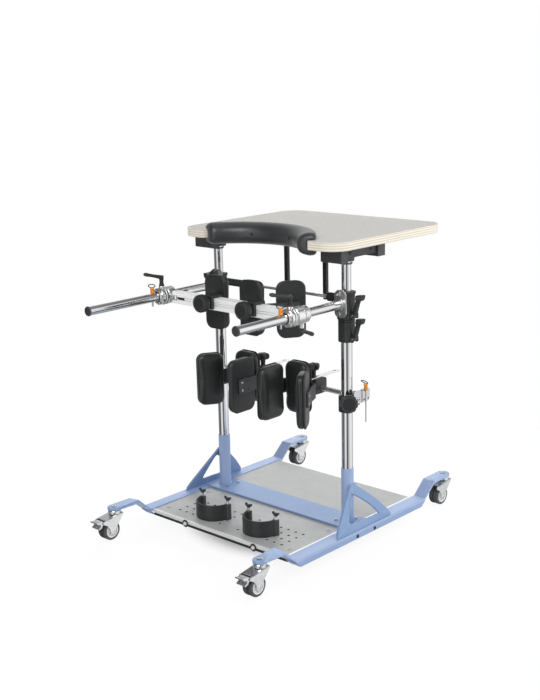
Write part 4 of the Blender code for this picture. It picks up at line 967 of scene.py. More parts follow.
beam = extruded(rounded((-CROSS_HALF, CROSS_HALF), (-CROSS_WIDE / 2, CROSS_WIDE / 2), 0.004), CROSS_LOW,
                CROSS_TOP)
piece("cross_beam", soften(beam, 0.0013, 3), "base", "blue", "cross_bar")
report("footplate and cross bar")

# %% [markdown]
# A heel cup is a half-round wall of thick plastic with a boss at each end; a wing screw with a bright washer
# stands on each boss. The wall is a rectangle spun through half a turn, with straight ends pulled on.

# %% Heel cups
CUP_X, CUP_Y, CUP_R, CUP_WALL, CUP_LOW, CUP_HIGH = 0.0945, -0.2, 0.0555, 0.006, 0.049, 0.097
BOSS_R, WING_LOW, WING_TOP = 0.0095, 0.1052, 0.1182
CUP_STRAIGHT, BOSS_Y, BOSS_STEP = 0.01, CUP_Y + 0.002, CUP_R - CUP_WALL / 2
BOSS_ROW = about(CUP_X, BOSS_STEP)


def cup():
    """The half-round wall with a boss at each end."""
    inner = CUP_R - CUP_WALL
    outline = [(-CUP_R, CUP_STRAIGHT)] + arc((0, 0), CUP_R, 180, 360, 40) + [(CUP_R, CUP_STRAIGHT)]
    outline += [(inner, CUP_STRAIGHT)] + arc((0, 0), inner, 360, 180, 40) + [(-inner, CUP_STRAIGHT)]
    wall = extruded([(CUP_X + x, CUP_Y + y) for x, y in outline], CUP_LOW, CUP_HIGH)
    boss = [(0, CUP_LOW), (BOSS_R, CUP_LOW), (BOSS_R, CUP_HIGH - 0.003), (BOSS_R - 0.003, CUP_HIGH),
            (0, CUP_HIGH)]
    bosses = [lathe(boss, (x, BOSS_Y, 0), steps=32) for x in BOSS_ROW]
    return together(soften(wall, 0.0016, 3, 40), *bosses)


def wing_screw():
    """The moulded wings of a thumb screw: a hub and two fat ears."""
    low, top = WING_LOW, WING_TOP
    hub = [(0, low), (0.005, low), (0.0056, low + 0.001), (0.0048, top - 0.005), (0.004, top - 0.0036)]
    ears = [(0.0, low + 0.0004), (0.0056, low + 0.0008), (0.0118, top - 0.006), (0.0128, top - 0.0022)]
    ears += [(0.0104, top), (0.0072, top - 0.0012), (0.0046, top - 0.0044), (0.0, top - 0.0056)]
    ears += [(-a, b) for a, b in ears[-2:0:-1]]
    blade = slab(smoothed(ears, 1), -0.003, 0.003, "Y", 0.0014, 3, 50)
    return together(lathe(hub + [(0, top - 0.0034)], steps=24), blade)


def wing_stud():
    """The bright stud of a thumb screw with its flanged nut."""
    top = WING_LOW + 0.001 - CUP_HIGH
    profile = [(0, 0), (0.0084, 0), (0.0084, 0.0012), (0.0066, 0.0018), (0.0062, 0.0052), (0.004, 0.0056)]
    return lathe(profile + [(0.0034, top), (0, top)], (0, 0, CUP_HIGH), steps=28)


pair("heel_wall_", cup(), "base", "black", "heel_cup_")
for side in SIDES:
    spots = [(on_side(side, x), BOSS_Y, 0) for x in BOSS_ROW]
    wings = [aimed(wing_screw(), spot) for spot in spots]
    studs = [aimed(wing_stud(), spot) for spot in spots]
    piece("heel_wings_" + side, together(*wings), "base", "black")
    piece("heel_studs_" + side, together(*studs), "base", "polished")
report("heel cups")

# %% [markdown]
# ## Castors
# A swivel castor: a ball race in a pressed head, a hood with two cheeks that hold the axle, and a twin wheel
# with a grey hub and a dark tyre. The two front ones have a brake pedal. Everything is built round one stem
# and then moved to each corner.

# %% Swivel and fork
TRAIL, WHEEL_R, AXLE_R = 0.024, 0.029, 0.005
HEAD_R, HEAD_LOW, CHEEK_OUT, CHEEK_THICK = 0.019, 0.0735, 0.0202, 0.0026


def castor_head():
    """The two races of the swivel and the stem's nut, turned in one profile."""
    top = ARM_TOP - BAR_THICK - 0.0004 - HEAD_LOW
    profile = [(0, -0.0005), (0.0172, -0.0005), (HEAD_R, 0.0012), (HEAD_R, 0.0038), (0.0176, 0.0048)]
    profile += [(0.0176, 0.006), (HEAD_R, 0.0068), (HEAD_R, 0.0088), (0.0178, top - 0.0006), (0.011, top)]
    return lathe(profile + [(0, top)], (0, 0, HEAD_LOW), steps=56)


def castor_fork():
    """The hood and two cheeks: one pressed sheet, folded down on both sides."""
    back, front = 0.017, -0.0485
    hood = [(back, 0.0757), (front, 0.0667), (front, 0.0641), (back, 0.073)]
    shapes = [slab(hood, -CHEEK_OUT, CHEEK_OUT, "X", 0.001)]
    cheek = [(back, 0.0757), (front - 0.01, 0.0652), (front - 0.0105, 0.058), (-0.044, 0.049),
             (-0.0345, 0.036)]
    cheek += arc((-TRAIL, WHEEL_R), 0.01, 185, 355, 12) + [(-0.0105, 0.038), (0.006, 0.058), (back, 0.07)]
    for sign in (-1, 1):
        ends = sorted((sign * CHEEK_OUT, sign * (CHEEK_OUT - CHEEK_THICK)))
        shapes.append(slab(cheek, ends[0], ends[1], "X", 0.0007, 2, 40))
        axle = (sign * (CHEEK_OUT - 0.0004), -TRAIL, WHEEL_R)
        rivet = [(0, 0), (0.0048, 0), (0.0044, 0.001), (0.0026, 0.0013), (0.0022, 0.0008), (0, 0.0006)]
        shapes.append(lathe(rivet, axle, (sign, 0, 0), 24))
    shapes.append(bar((-CHEEK_OUT, -TRAIL, WHEEL_R), (CHEEK_OUT, -TRAIL, WHEEL_R), AXLE_R * 0.96, 20))
    return together(*shapes)


print("the wheel trails the stem by", TRAIL, "m")

# %% [markdown]
# A twin wheel is two tyres on one hub, all spun. The brake pedal is pressed sheet: an outline seen from the
# side, pulled across.

# %% Wheel and brake pedal
WHEEL_HALF, TYRE_GAP, RIM = 0.0165, 0.003, 0.021
PEDAL_Y, PEDAL_Z, PEDAL_HALF, PEDAL_EYE = -0.0545, 0.06, 0.016, 0.0042
RIB_ROW, RIB_HALF = (-0.01, -0.005, 0.0, 0.005, 0.01), 0.0012


def tyre_pair():
    """Two tyres with rounded shoulders, a gap apart."""
    rows = []
    for sign in (-1, 1):
        face, inside = sign * (WHEEL_HALF - 0.0006), sign * TYRE_GAP
        side_wall = [(RIM, face), (0.0255, face), (0.0278, face - sign * 0.0008),
                     (0.0288, face - sign * 0.0026)]
        tread = [(WHEEL_R, face - sign * 0.0052), (WHEEL_R, inside + sign * 0.003)]
        tread += [(0.0285, inside + sign * 0.001), (0.027, inside), (RIM, inside)]
        rows.append(lathe(side_wall + tread, steps=64, ring=True))
    return together(*rows)


def hub_pair():
    """The grey hub with a dished web and a raised boss on each side."""
    outer = WHEEL_HALF - 0.0004
    half = [(AXLE_R + 0.0004, outer), (0.0078, outer), (0.0086, outer - 0.0016), (0.016, outer - 0.0024),
            (0.0176, outer - 0.0006)]
    half += [(0.0208, outer - 0.0002), (0.0212, outer - 0.0012), (0.0212, 0.0036), (0.018, 0.0024)]
    return lathe(half + [(r, -h) for r, h in half[::-1]], steps=64, ring=True)


def brake_pedal():
    """The pedal: an upper tab with curled ears, a broad lower tab and ribs between them."""
    outline = arc((PEDAL_Y, PEDAL_Z), PEDAL_EYE, 0, 120, 8)
    outline += [(-0.066, 0.065), (-0.073, 0.0662), (-0.0775, 0.0668)]
    outline += [(-0.0795, 0.064), (-0.0765, 0.0625), (-0.0665, 0.0595), (-0.0655, 0.053), (-0.0745, 0.0475)]
    outline += [(-0.0725, 0.0445), (-0.062, 0.048), (-0.0585, 0.0545)]
    outline += arc((PEDAL_Y, PEDAL_Z), PEDAL_EYE, 270, 340, 4)
    plate = slab(outline, -PEDAL_HALF, PEDAL_HALF, "X", 0.0008, 2, 35)
    ribs = [block(about(x, RIB_HALF), (-0.0735, -0.06), (0.0655, 0.0674)) for x in RIB_ROW]
    return together(plate, *[soften(rib, 0.0004) for rib in ribs])


for place, sign in (("front", -1), ("rear", 1)):
    for side in SIDES:
        spot, tag = (on_side(side, STEM_X), sign * STEM_Y, 0), place + "_" + side
        hub = (spot[0], spot[1] - TRAIL, WHEEL_R)
        body = "castor_" + tag
        piece("fork_" + tag, aimed(castor_fork(), spot), body, "zinc", "castor_fork_" + tag)
        piece("swivel_" + tag, aimed(castor_head(), spot), body, "polished")
        piece("tyres_" + tag, aimed(tyre_pair(), hub, TO_RIGHT), "wheel_" + tag, "tyre",
              "castor_wheel_" + tag)
        piece("hub_" + tag, aimed(hub_pair(), hub, TO_RIGHT), "wheel_" + tag, "hub")
        if place == "front":
            piece("pedal_" + side, aimed(brake_pedal(), spot), "brake_pedal_" + side, "zinc",
                  "brake_pedal_" + side)
report("castors")

# %% [markdown]
# ## Posts and clamp collars
# Each leg is a chromed tube inside another. A moulded collar sits on the outer tube and pinches the inner
# one when its flip lever is pressed down. The collar is a ring between a rounded square and a round hole,
# pulled up and softened.

# %% Collars and flip levers
OUTER_R, INNER_R, INNER_BORE, INNER_FOOT, RUN = 0.0163, 0.0137, 0.0117, 0.33, 0.0003
COLLAR, CLAMP_LOW, CLAMP_HIGH, CARRIER_HIGH = 0.042, 0.588, 0.653, 0.7306
LEVER_OUT, LEVER_HALF, CLAMP_LEVER_Z, CARRIER_LEVER_Z = 0.0275, 0.0085, 0.598, 0.664
POST_FOOT = 0.0562


def tube(bore, radius, low, high, x=POST_X, lip=0.0006):
    """An upright tube with eased rims."""
    profile = [(bore, low), (radius - lip, low), (radius, low + lip), (radius, high - lip),
               (radius - lip, high), (bore, high)]
    return lathe(profile, (x, 0, 0), steps=56, ring=True)


def collar(low, high, bore, half=COLLAR / 2, corner=0.0135, reach=0.0, edge=0.0022):
    """A moulded ring: rounded square outside, round inside."""
    outer = rounded((-half, half), (-half - reach, half), corner, 8)
    inner = [(bore * math.cos(a), bore * math.sin(a))
             for a in (2 * math.pi * i / len(outer) for i in range(len(outer)))]
    ring = framed_plate(outer, inner, high - low)
    return aimed(soften(ring, edge, 3, 50), (POST_X, 0, (low + high) / 2))


def lever_lugs(z):
    """The two ears that hold a flip lever's pin."""
    start, inside = POST_X + COLLAR / 2 - 0.006, LEVER_HALF + RUN
    shapes = []
    for sign in (-1, 1):
        ends = sorted((sign * inside, sign * (inside + 0.0034)))
        ear = rounded((start, POST_X + LEVER_OUT + 0.0054), about(z, 0.0085), 0.0048)
        shapes.append(slab(ear, ends[0], ends[1], "Y", 0.0006, 2, 50))
    return together(*shapes)


def flip_lever(z):
    """A wing lever: hub, curved blade with a rib, and the square thumb tab on its top."""
    blade = [(-0.0042, 0.0), (-0.0012, 0.012), (0.0046, 0.03), (0.0088, 0.042), (0.0118, 0.059),
             (0.022, 0.0598)]
    blade += [(0.0215, 0.049), (0.015, 0.033), (0.0125, 0.023), (0.0052, 0.0)]
    tab = [(0.0104, 0.059), (0.03, 0.061), (0.033, 0.059), (0.03, 0.048), (0.025, 0.044), (0.012, 0.043),
           (0.0088, 0.046)]
    rib = [(0.006, 0.012), (0.01, 0.018), (0.0165, 0.033), (0.0245, 0.05), (0.0205, 0.052), (0.011, 0.03)]
    shapes = [slab(smoothed(blade, 1, 0.2), -0.0066, 0.0066, "Y", 0.0011, 3, 40)]
    shapes.append(slab(tab, -LEVER_HALF, LEVER_HALF, "Y", 0.001, 3, 30))
    shapes.append(slab(rib, -0.0016, 0.0016, "Y", 0.0006, 2, 30))
    hub = [(0, -LEVER_HALF), (0.0052, -LEVER_HALF), (0.0058, 0.0006 - LEVER_HALF),
           (0.0058, LEVER_HALF - 0.0006)]
    shapes.append(lathe(hub + [(0.0052, LEVER_HALF), (0, LEVER_HALF)], way=(0, 1, 0), steps=24))
    return aimed(together(*shapes), (POST_X + LEVER_OUT, 0, z))


def lever_pin(z):
    """The pin that a flip lever turns on."""
    far = LEVER_HALF + RUN + 0.003
    return bar((POST_X + LEVER_OUT, -far - 0.0008, z), (POST_X + LEVER_OUT, far + 0.0008, z), 0.0028, 18)


print("the lever's pin stands", LEVER_OUT, "m out from the post")

# %% [markdown]
# The outer tube carries the clamp, a tall collar with a thin one on top. All four flip levers are one
# moulding.

# %% Posts
pair("post_tube_", tube(INNER_R + RUN, OUTER_R, POST_FOOT, CLAMP_LOW + 0.015), "base", "chrome",
     "outer_post_")
clamp = together(collar(CLAMP_LOW, CLAMP_HIGH - 0.0068, INNER_R + RUN, COLLAR / 2 - 0.0003),
                 collar(CLAMP_HIGH - 0.0064, CLAMP_HIGH - RUN, INNER_R + RUN, COLLAR / 2, edge=0.0012),
                 lever_lugs(CLAMP_LEVER_Z))
pair("post_collar_", clamp, "base", "black")
pair("post_collar_pin_", lever_pin(CLAMP_LEVER_Z), "base", "screw")
for name, z in (("height_lever_", CLAMP_LEVER_Z), ("carrier_lever_", CARRIER_LEVER_Z)):
    pair("wing_" + name, flip_lever(z), name, "black", name)
report("outer posts")

# %% [markdown]
# ## Table
# The board is one outline pulled up by its thickness, with its edges eased by a router. Both brackets under
# it are the same casting, so they look the same way and are not mirrored.

# %% Board
TABLE_TOP, TABLE_THICK, TABLE_HALF, TABLE_CORNER = 0.878, 0.025, 0.3, 0.06
TABLE_FRONT, TABLE_BACK, NOTCH_HALF, NOTCH_DEEP = -0.1075, 0.403, 0.2, 0.12
TABLE_LOW = TABLE_TOP - TABLE_THICK
NOTCH_R = (NOTCH_HALF**2 + NOTCH_DEEP**2) / (2 * NOTCH_DEEP)
NOTCH_Y = TABLE_FRONT + NOTCH_DEEP - NOTCH_R

inside = TABLE_HALF - TABLE_CORNER
edge = arc((inside, TABLE_BACK - TABLE_CORNER), TABLE_CORNER, 0, 90, 20)
edge += arc((-inside, TABLE_BACK - TABLE_CORNER), TABLE_CORNER, 90, 180, 20)
edge += arc((-inside, TABLE_FRONT + TABLE_CORNER), TABLE_CORNER, 180, 270, 20)
sweep = math.degrees(math.asin(NOTCH_HALF / NOTCH_R))
edge += arc((0, NOTCH_Y), NOTCH_R, 90 + sweep, 90 - sweep, 60)
edge += arc((inside, TABLE_FRONT + TABLE_CORNER), TABLE_CORNER, 270, 360, 20)
board_form = slab(edge, TABLE_LOW, TABLE_TOP, "Z", 0.0022, 3, 50)
piece("table_board", board_form, "table", "board", "table_top", crease=25)
print("the notch has a radius of", round(NOTCH_R, 3), "m")

# %% [markdown]
# Each bracket is a stepped block with a pocket in its outer face. The inner tube ends in it.

# %% Brackets and inner posts
BRACKET_TOP, BRACKET_LOW, BRACKET_FRONT, BRACKET_BACK = TABLE_LOW - RUN, 0.81, -0.035, 0.161
BRACKET_LEFT, BRACKET_RIGHT, POCKET_DEEP, BRACKET_SCREWS = 0.063, 0.012, 0.007, (0.012, 0.106)


def bracket(x):
    """The casting under the board: a stepped block with a pocket in its outer face."""
    front, back, low, top = BRACKET_FRONT, BRACKET_BACK, BRACKET_LOW, BRACKET_TOP
    step, pocket, rear = 0.03, front + 0.0285, back - 0.033
    inner = [(front, low), (step, low), (step + 0.002, low + 0.01), (rear - 0.002, low + 0.01)]
    inner += [(rear, low), (back, low), (back, top), (front, top)]
    outer = [(front, low), (pocket, low), (pocket, top - 0.008), (rear, top - 0.008)]
    outer += [(rear, low), (back, low), (back, top), (front, top)]
    left, right = x - BRACKET_LEFT, x + BRACKET_RIGHT
    face = right - POCKET_DEEP
    shapes = [slab(inner, left, face, "X", 0.0022, 3), slab(outer, face, right, "X", 0.001)]
    for y in BRACKET_SCREWS:
        shapes.append(socket_screw(0.005, 0.0028, (face, y, top - 0.018), TO_RIGHT))
    return together(*shapes)


for side in SIDES:
    x = on_side(side, POST_X)
    post = tube(INNER_BORE, INNER_R, INNER_FOOT, BRACKET_LOW + 0.004, x)
    piece("inner_tube_" + side, post, "table", "chrome", "inner_post_" + side)
    piece("table_bracket_" + side, bracket(x), "table", "bracket")
    foot_ring = [(INNER_R + 0.0001, BRACKET_LOW - 0.004), (INNER_R + 0.0026, BRACKET_LOW - 0.004)]
    foot_ring += [(INNER_R + 0.004, BRACKET_LOW), (INNER_R + 0.0001, BRACKET_LOW)]
    piece("table_socket_" + side, lathe(foot_ring, (x, 0, 0), ring=True), "table", "bracket")
report("inner posts")

# %% [markdown]
# Two black struts hang from a bar under the board. All three are one outline, with a shallow slot in each
# strut.

# %% Struts
STRUT_X, STRUT_Y, STRUT_HALF, STRUT_DEEP, STRUT_FOOT, STRUT_LAP = 0.075, 0.118, 0.0075, 0.01, 0.667, 0.014

top, foot, strut_face = TABLE_LOW - RUN, STRUT_FOOT + STRUT_HALF, STRUT_Y - STRUT_DEEP / 2
outline = [(-STRUT_X - STRUT_HALF, top)] + arc((-STRUT_X, foot), STRUT_HALF, 180, 360, 14)
outline += [(STRUT_HALF - STRUT_X, top - STRUT_LAP), (STRUT_X - STRUT_HALF, top - STRUT_LAP)]
outline += arc((STRUT_X, foot), STRUT_HALF, 180, 360, 14) + [(STRUT_X + STRUT_HALF, top)]
straps = slab(outline, strut_face, STRUT_Y + STRUT_DEEP / 2, "Y", 0.0012, 3, 40)
slots, hangers = [], []
for sign in (-1, 1):
    hollow = rounded((sign * STRUT_X - 0.0042, sign * STRUT_X + 0.0042), (STRUT_FOOT + 0.006, top - 0.026),
                     0.004)
    slots.append(extruded(hollow, strut_face - 0.002, strut_face + 0.0022, "Y"))
    hangers.append(socket_screw(0.0048, 0.0026, (sign * STRUT_X, strut_face, top - 0.01), TO_FRONT))
piece("strut_pair", pierced(straps, together(*slots)), "table", "black", "strut_hanger")
piece("strut_screws", together(*hangers), "table", "screw")
report("struts")

# %% [markdown]
# ## Arms
# Each arm is a tube on a steel plate, bolted to a carrier that slides on the inner post and is pinched by a
# second flip lever. The left carrier also holds a thin cross rod in a black socket; a knurled knob closes
# its far end.

# %% Arm carriers
ARM_Z, ARM_R, ARM_PLATE_Y, ARM_PLATE_THICK = 0.697, 0.0128, -0.0255, 0.0055
ARM_END = {"left": -0.51, "right": -0.442}
PLATE_X, PLATE_Z, PLATE_HALF_X, PLATE_HALF_Z = POST_X + 0.002, ARM_Z + 0.0015, 0.0205, 0.03925
PLATE_FACE, BOLT_X, BOLT_STEP = ARM_PLATE_Y - ARM_PLATE_THICK, PLATE_X - 0.0055, 0.0285


def arm_plate():
    """The clamp plate with generous corners, dished round its two bolts."""
    limits = (about(PLATE_X, PLATE_HALF_X), about(PLATE_Z, PLATE_HALF_Z))
    plate = slab(rounded(*limits, 0.0165, 10), PLATE_FACE, ARM_PLATE_Y, "Y", 0.0016, 3, 50)
    socket = [(ARM_R - 0.0005, 0), (ARM_R + 0.0042, 0), (ARM_R + 0.0034, 0.0016)]
    socket += [(ARM_R + 0.001, 0.0034), (ARM_R - 0.0005, 0.0036)]
    shapes = [plate, lathe(socket, (POST_X, PLATE_FACE, ARM_Z), TO_FRONT, ring=True)]
    dish = [(0.005, 0), (0.0088, 0), (0.0086, 0.001), (0.0076, 0.0013), (0.0066, 0.0004), (0.005, 0.0002)]
    for sign in (-1, 1):
        shapes.append(lathe(dish, (BOLT_X, PLATE_FACE, PLATE_Z + sign * BOLT_STEP), TO_FRONT, 32, ring=True))
    return together(*shapes)


def arm_bolts():
    """The two cap screws in the dishes."""
    spots = [(BOLT_X, PLATE_FACE, PLATE_Z + sign * BOLT_STEP) for sign in (-1, 1)]
    return together(*[socket_screw(0.0064, 0.0036, spot, TO_FRONT) for spot in spots])


ARM_CAP = [(0, 0), (0.013, 0), (0.0137, 0.0005), (0.0138, 0.0022), (0.0128, 0.0038), (0.0105, 0.0044)]
ARM_CAP += [(0.0098, 0.004), (0, 0.0042)]
carrier = together(collar(CLAMP_HIGH, CARRIER_HIGH - 0.0082, INNER_R + RUN, reach=0.004),
                   collar(CARRIER_HIGH - 0.008, CARRIER_HIGH, INNER_R + RUN, COLLAR / 2 + 0.0018, 0.0145,
                          0.003, 0.0016),
                   lever_lugs(CARRIER_LEVER_Z))
pair("carrier_", carrier, "arms", "black")
pair("arm_plate_", arm_plate(), "arms", "steel", "arm_")
pair("arm_bolts_", together(arm_bolts(), lever_pin(CARRIER_LEVER_Z)), "arms", "screw")
for side in SIDES:
    x, end = on_side(side, POST_X), ARM_END[side]
    arm = bar((x, PLATE_FACE + 0.001, ARM_Z), (x, end + 0.004, ARM_Z), ARM_R, 56, ease=0.0006)
    piece("arm_tube_" + side, arm, "arms", "chrome_y")
    piece("arm_cap_" + side, lathe(ARM_CAP, (x, end + 0.0044, ARM_Z), TO_FRONT), "arms", "bracket")
report("arms")

# %% [markdown]
# The cross rod is a plain bar between a long black socket and a knurled knob.

# %% Cross rod
ROD_Z, ROD_R, ROD_START, KNURL_X = 0.7075, 0.0045, -0.104, 0.183


def lobed(radius, lobes, depth, per_lobe=8, sharp=1.0):
    """A grip's outline with hollows between its lobes."""
    count = lobes * per_lobe
    points = []
    for i in range(count):
        angle = 2 * math.pi * i / count
        hollow = (0.5 - 0.5 * math.cos(lobes * angle)) ** sharp
        points.append(((radius - depth * hollow) * math.cos(angle),
                       (radius - depth * hollow) * math.sin(angle)))
    return points


inner = POST_X - COLLAR / 2
cross_rod = bar((ROD_START, 0, ROD_Z), (inner - RUN, 0, ROD_Z), ROD_R, 28)
piece("cross_rod", cross_rod, "arms", "polished")
socket = [(0, 0), (0.0108, 0), (0.011, 0.004), (0.011, 0.118), (0.0098, 0.1215), (0.006, 0.123), (0, 0.1232)]
grip = slab(lobed(0.0129, 18, 0.0011, 6), 0.0008, 0.0235, "Z", 0.001, 2, 40)
knob = [(0, 0.0004), (0.0105, 0.0004), (0.0108, 0.001), (0.0108, 0.0232), (0.0086, 0.024), (0, 0.0242)]
black_ends = together(lathe(socket, (-inner + 0.0012, 0, ROD_Z), TO_RIGHT),
                      aimed(grip, (KNURL_X, 0, ROD_Z), TO_RIGHT), lathe(knob, (KNURL_X, 0, ROD_Z), TO_RIGHT))
piece("cross_rod_ends", black_ends, "arms", "black")
print("cross rod", round(inner - RUN - ROD_START, 3), "m long")

# %% [markdown]
# A pull pin locks each arm's reach: a steel shank, an orange moulded body and a wire ring to pull it by. The
# knee unit has the same pin, only thinner, so one function makes all three.

# %% Pull pins
PIN_Y, PIN_TIP, PIN_SHANK = -0.272, 0.671, 0.003
RING_LEAN, RING_TURN, PULL_RING, RING_WIRE = math.radians(52), math.radians(40), 0.0098, 0.0014


def pin_body(top):
    """The moulded grip, waisted for the fingers."""
    profile = [(0, 0), (0.005, 0), (0.0058, 0.0008), (0.0062, 0.003), (0.0056, 0.0055), (0.005, 0.0075)]
    profile += [(0.0054, 0.0105), (0.0062, 0.0135), (0.0058, 0.0155), (0.004, 0.0178), (0, 0.018)]
    return lathe(profile, (0, 0, top), steps=32)


def pin_steel(top, tip, shank):
    """The shank with its rounded tip and sprung ball."""
    stem = [(0, tip), (shank * 0.6, tip + 0.0004), (shank, tip + 0.0022), (shank, top + 0.002),
            (0, top + 0.002)]
    ball = bmesh.new()
    bmesh.ops.create_uvsphere(ball, u_segments=14, v_segments=10, radius=shank * 0.36)
    bmesh.ops.translate(ball, vec=(shank * 0.86, 0, tip + 0.0045), verts=ball.verts)
    return together(lathe(stem, steps=24), ball)


def pull_ring(top, turn):
    """The ring that the pin is pulled by, fallen to one side."""
    ring = swept([(x, 0, z) for x, z in arc((0, 0), PULL_RING, 0, 351, 39)], RING_WIRE, closed=True)
    lean = Matrix.Rotation(turn, 4, "Z") @ Matrix.Rotation(RING_LEAN, 4, "X")
    bmesh.ops.translate(ring, vec=(0, 0, PULL_RING - 0.0022), verts=ring.verts)
    ring.transform(Matrix.Translation((0, 0, top + 0.0178)) @ lean)
    return ring


def pull_pin(name, spot, tip, shank, turn, body):
    """The three pieces of a pin whose grip starts at the spot; {} in the name stands for the kind."""
    foot, top = (spot[0], spot[1], 0), spot[2]
    piece(name.format("grip"), aimed(pin_body(top), foot), body, "orange", body)
    piece(name.format("wire"), aimed(pin_steel(top, tip, shank), foot), body, "screw")
    piece(name.format("ring"), aimed(pull_ring(top, turn), foot), body, "bracket")


for side in SIDES:
    spot = (on_side(side, POST_X), PIN_Y, ARM_Z + ARM_R + RUN)
    pull_pin("pin_{}_" + side, spot, PIN_TIP, PIN_SHANK, RING_TURN, "arm_pin_" + side)
report("pull pins")

# %% [markdown]
# ## Hip gate
# A cast ring clamp sits on each arm: turned flanges with grooves, three cap screws in the front face, and a
# boss for its clamp lever. The left ring ends in the hinge's tongue, the right one in a shelf that the rail
# rests on.

# %% Ring bodies
RING_R, RING_FRONT, RING_BACK, SLEEVE_BACK = 0.026, -0.255, -0.2, -0.176
LEVER_Y, LEVER_SEAT, RAIL_Y, RAIL_DEEP, RAIL_TALL, RAIL_END = -0.235, 0.7265, -0.22, 0.03, 0.034, 0.2195
GATE_X, KNUCKLE_R, KNUCKLE_HALF, GATE_PIN = 0.2, 0.013, 0.0065, 0.0045
LATCH_Y, LATCH_LOW = -0.189, 0.65


def ring_profile(side):
    """The turned section of a ring from its front face on; the right one goes on into a sleeve."""
    hole, back, end = ARM_R + RUN, RING_BACK - RING_FRONT, SLEEVE_BACK - RING_FRONT
    profile = [(hole, 0), (0.015, 0), (0.0165, 0.001), (0.0165, 0.003), (0.0195, 0.0036), (0.0225, 0.0036)]
    profile += [(0.0242, 0.005), (0.0248, 0.008), (0.0248, 0.0125), (0.0236, 0.0136), (0.0218, 0.014)]
    profile += [(0.0218, 0.0165), (0.025, 0.0172), (RING_R, 0.0182), (RING_R, 0.0212), (0.025, 0.0222)]
    profile += [(0.0226, 0.0226), (0.0226, 0.0262), (0.0248, 0.0272), (RING_R, 0.0285)]
    profile += [(RING_R, back - 0.0016), (0.0246, back)]
    if side == "left":
        return profile + [(hole, back)]
    profile += [(0.0205, back + 0.0006), (0.0205, back + 0.0028), (0.023, back + 0.0036)]
    return profile + [(0.024, back + 0.005), (0.024, end - 0.0024), (0.0226, end), (hole, end)]


def hinge_tongue():
    """The knuckle on the left ring, its web and the hinge pin."""
    knuckle = [(GATE_PIN - 0.0004, -KNUCKLE_HALF), (KNUCKLE_R - 0.0008, -KNUCKLE_HALF)]
    knuckle += [(KNUCKLE_R, 0.0008 - KNUCKLE_HALF)]
    knuckle += [(r, -h) for r, h in knuckle[::-1]]
    web = block((GATE_X + 0.009, POST_X - 0.016), about(RAIL_Y, 0.0098), about(ARM_Z, 0.0058))
    reach = RAIL_TALL / 2 - 0.001
    pin = bar((GATE_X, RAIL_Y, ARM_Z - reach), (GATE_X, RAIL_Y, ARM_Z + reach), GATE_PIN - 0.0002, 24)
    return [lathe(knuckle, (GATE_X, RAIL_Y, ARM_Z), steps=40, ring=True), soften(web, 0.0012), pin]


def rail_shelf():
    """The shelf on the right ring and the stem of the latch below it."""
    shelf = ARM_Z - RAIL_TALL / 2 - 0.0005
    ledge = block((RAIL_END - 0.02, POST_X - 0.014), about(RAIL_Y, 0.014), (shelf - 0.005, shelf))
    stem = [(0, LATCH_LOW + 0.004), (0.0064, LATCH_LOW + 0.004), (0.0064, ARM_Z - 0.02), (0, ARM_Z - 0.018)]
    return [soften(ledge, 0.0012), lathe(stem, (POST_X, LATCH_Y, 0), steps=28)]


def ring_clamp(side):
    """The turned body with its boss, and the hinge tongue or the shelf."""
    body = lathe(ring_profile(side), (POST_X, RING_FRONT, ARM_Z), TO_BACK, 72, ring=True)
    low = ARM_Z + 0.018
    boss = [(0, low), (0.0098, low), (0.0088, ARM_Z + RING_R), (0.008, LEVER_SEAT - 0.001)]
    boss += [(0.0072, LEVER_SEAT - RUN), (0, LEVER_SEAT - RUN)]
    end = rail_shelf() if side == "right" else hinge_tongue()
    return together(body, lathe(boss, (POST_X, LEVER_Y, 0), steps=32), *end)


for side in SIDES:
    piece("ring_" + side, mirrored_to(ring_clamp(side), side), "gate_clamps", "polished", "arm_clamp_" + side)
report("ring clamps")

# %% [markdown]
# Cap screws, black rings of painted shade in the grooves and a die-cast lever make the rings read as clamps.
# A handle is swept with a radius for every point.

# %% Ring screws, seals and levers
SCREW_RING, SCREW_TURNS = 0.0198, (20, 140, 260)
# black rings in the grooves and round the tube: painted shade
GROOVE_SHADES = ((0.0208, 0.0226, 0.0139, 0.0166), (0.0216, 0.0233, 0.0225, 0.0263),
         (ARM_R + RUN, 0.0148, -0.0008, 0.001))
LEVER_TOP, LEVER_REACH, LEVER_WIRE, LEVER_RISE = 0.7568, {"left": 0.069, "right": 0.08}, 0.0058, 0.0122
LEVER_SWELL = [1.0, 1.0, 0.98, 0.94, 0.9, 0.86, 0.83, 0.81, 0.8, 0.8, 0.83, 0.88, 0.94, 0.95, 0.7]
LATCH_REACH, LATCH_DROP, LATCH_WIRE = 0.048, 0.02, 0.0066
LATCH_SWELL = [1.0, 1.0, 0.95, 0.88, 0.82, 0.78, 0.78, 0.82, 0.9, 0.92, 0.72]


def ring_screws():
    """Three cap screws round the ring's front face."""
    shapes = []
    for turn in SCREW_TURNS:
        a = math.radians(turn)
        spot = (POST_X + SCREW_RING * math.cos(a), RING_FRONT + 0.0036, ARM_Z + SCREW_RING * math.sin(a))
        shapes.append(socket_screw(0.0029, 0.0024, spot, TO_FRONT, 0.5))
    return together(*shapes)


def ring_groove_shades():
    """Black rings in the two grooves and round the tube: painted shade where the grooves and the bore lie in
    shadow.
    """
    rings = []
    for inner, outer, start, end in GROOVE_SHADES:
        profile = [(inner, start), (outer - 0.0003, start), (outer, start + 0.0003), (outer, end - 0.0003)]
        profile += [(outer - 0.0003, end), (inner, end)]
        rings.append(lathe(profile, (POST_X, RING_FRONT, ARM_Z), TO_BACK, 56, ring=True))
    return together(*rings)


def handle(start, tip, wire, swell):
    """A straight handle whose thickness follows the list of shares."""
    last = len(swell) - 1
    return swept([start.lerp(tip, i / last) for i in range(last + 1)], wire, swell, sides=4)


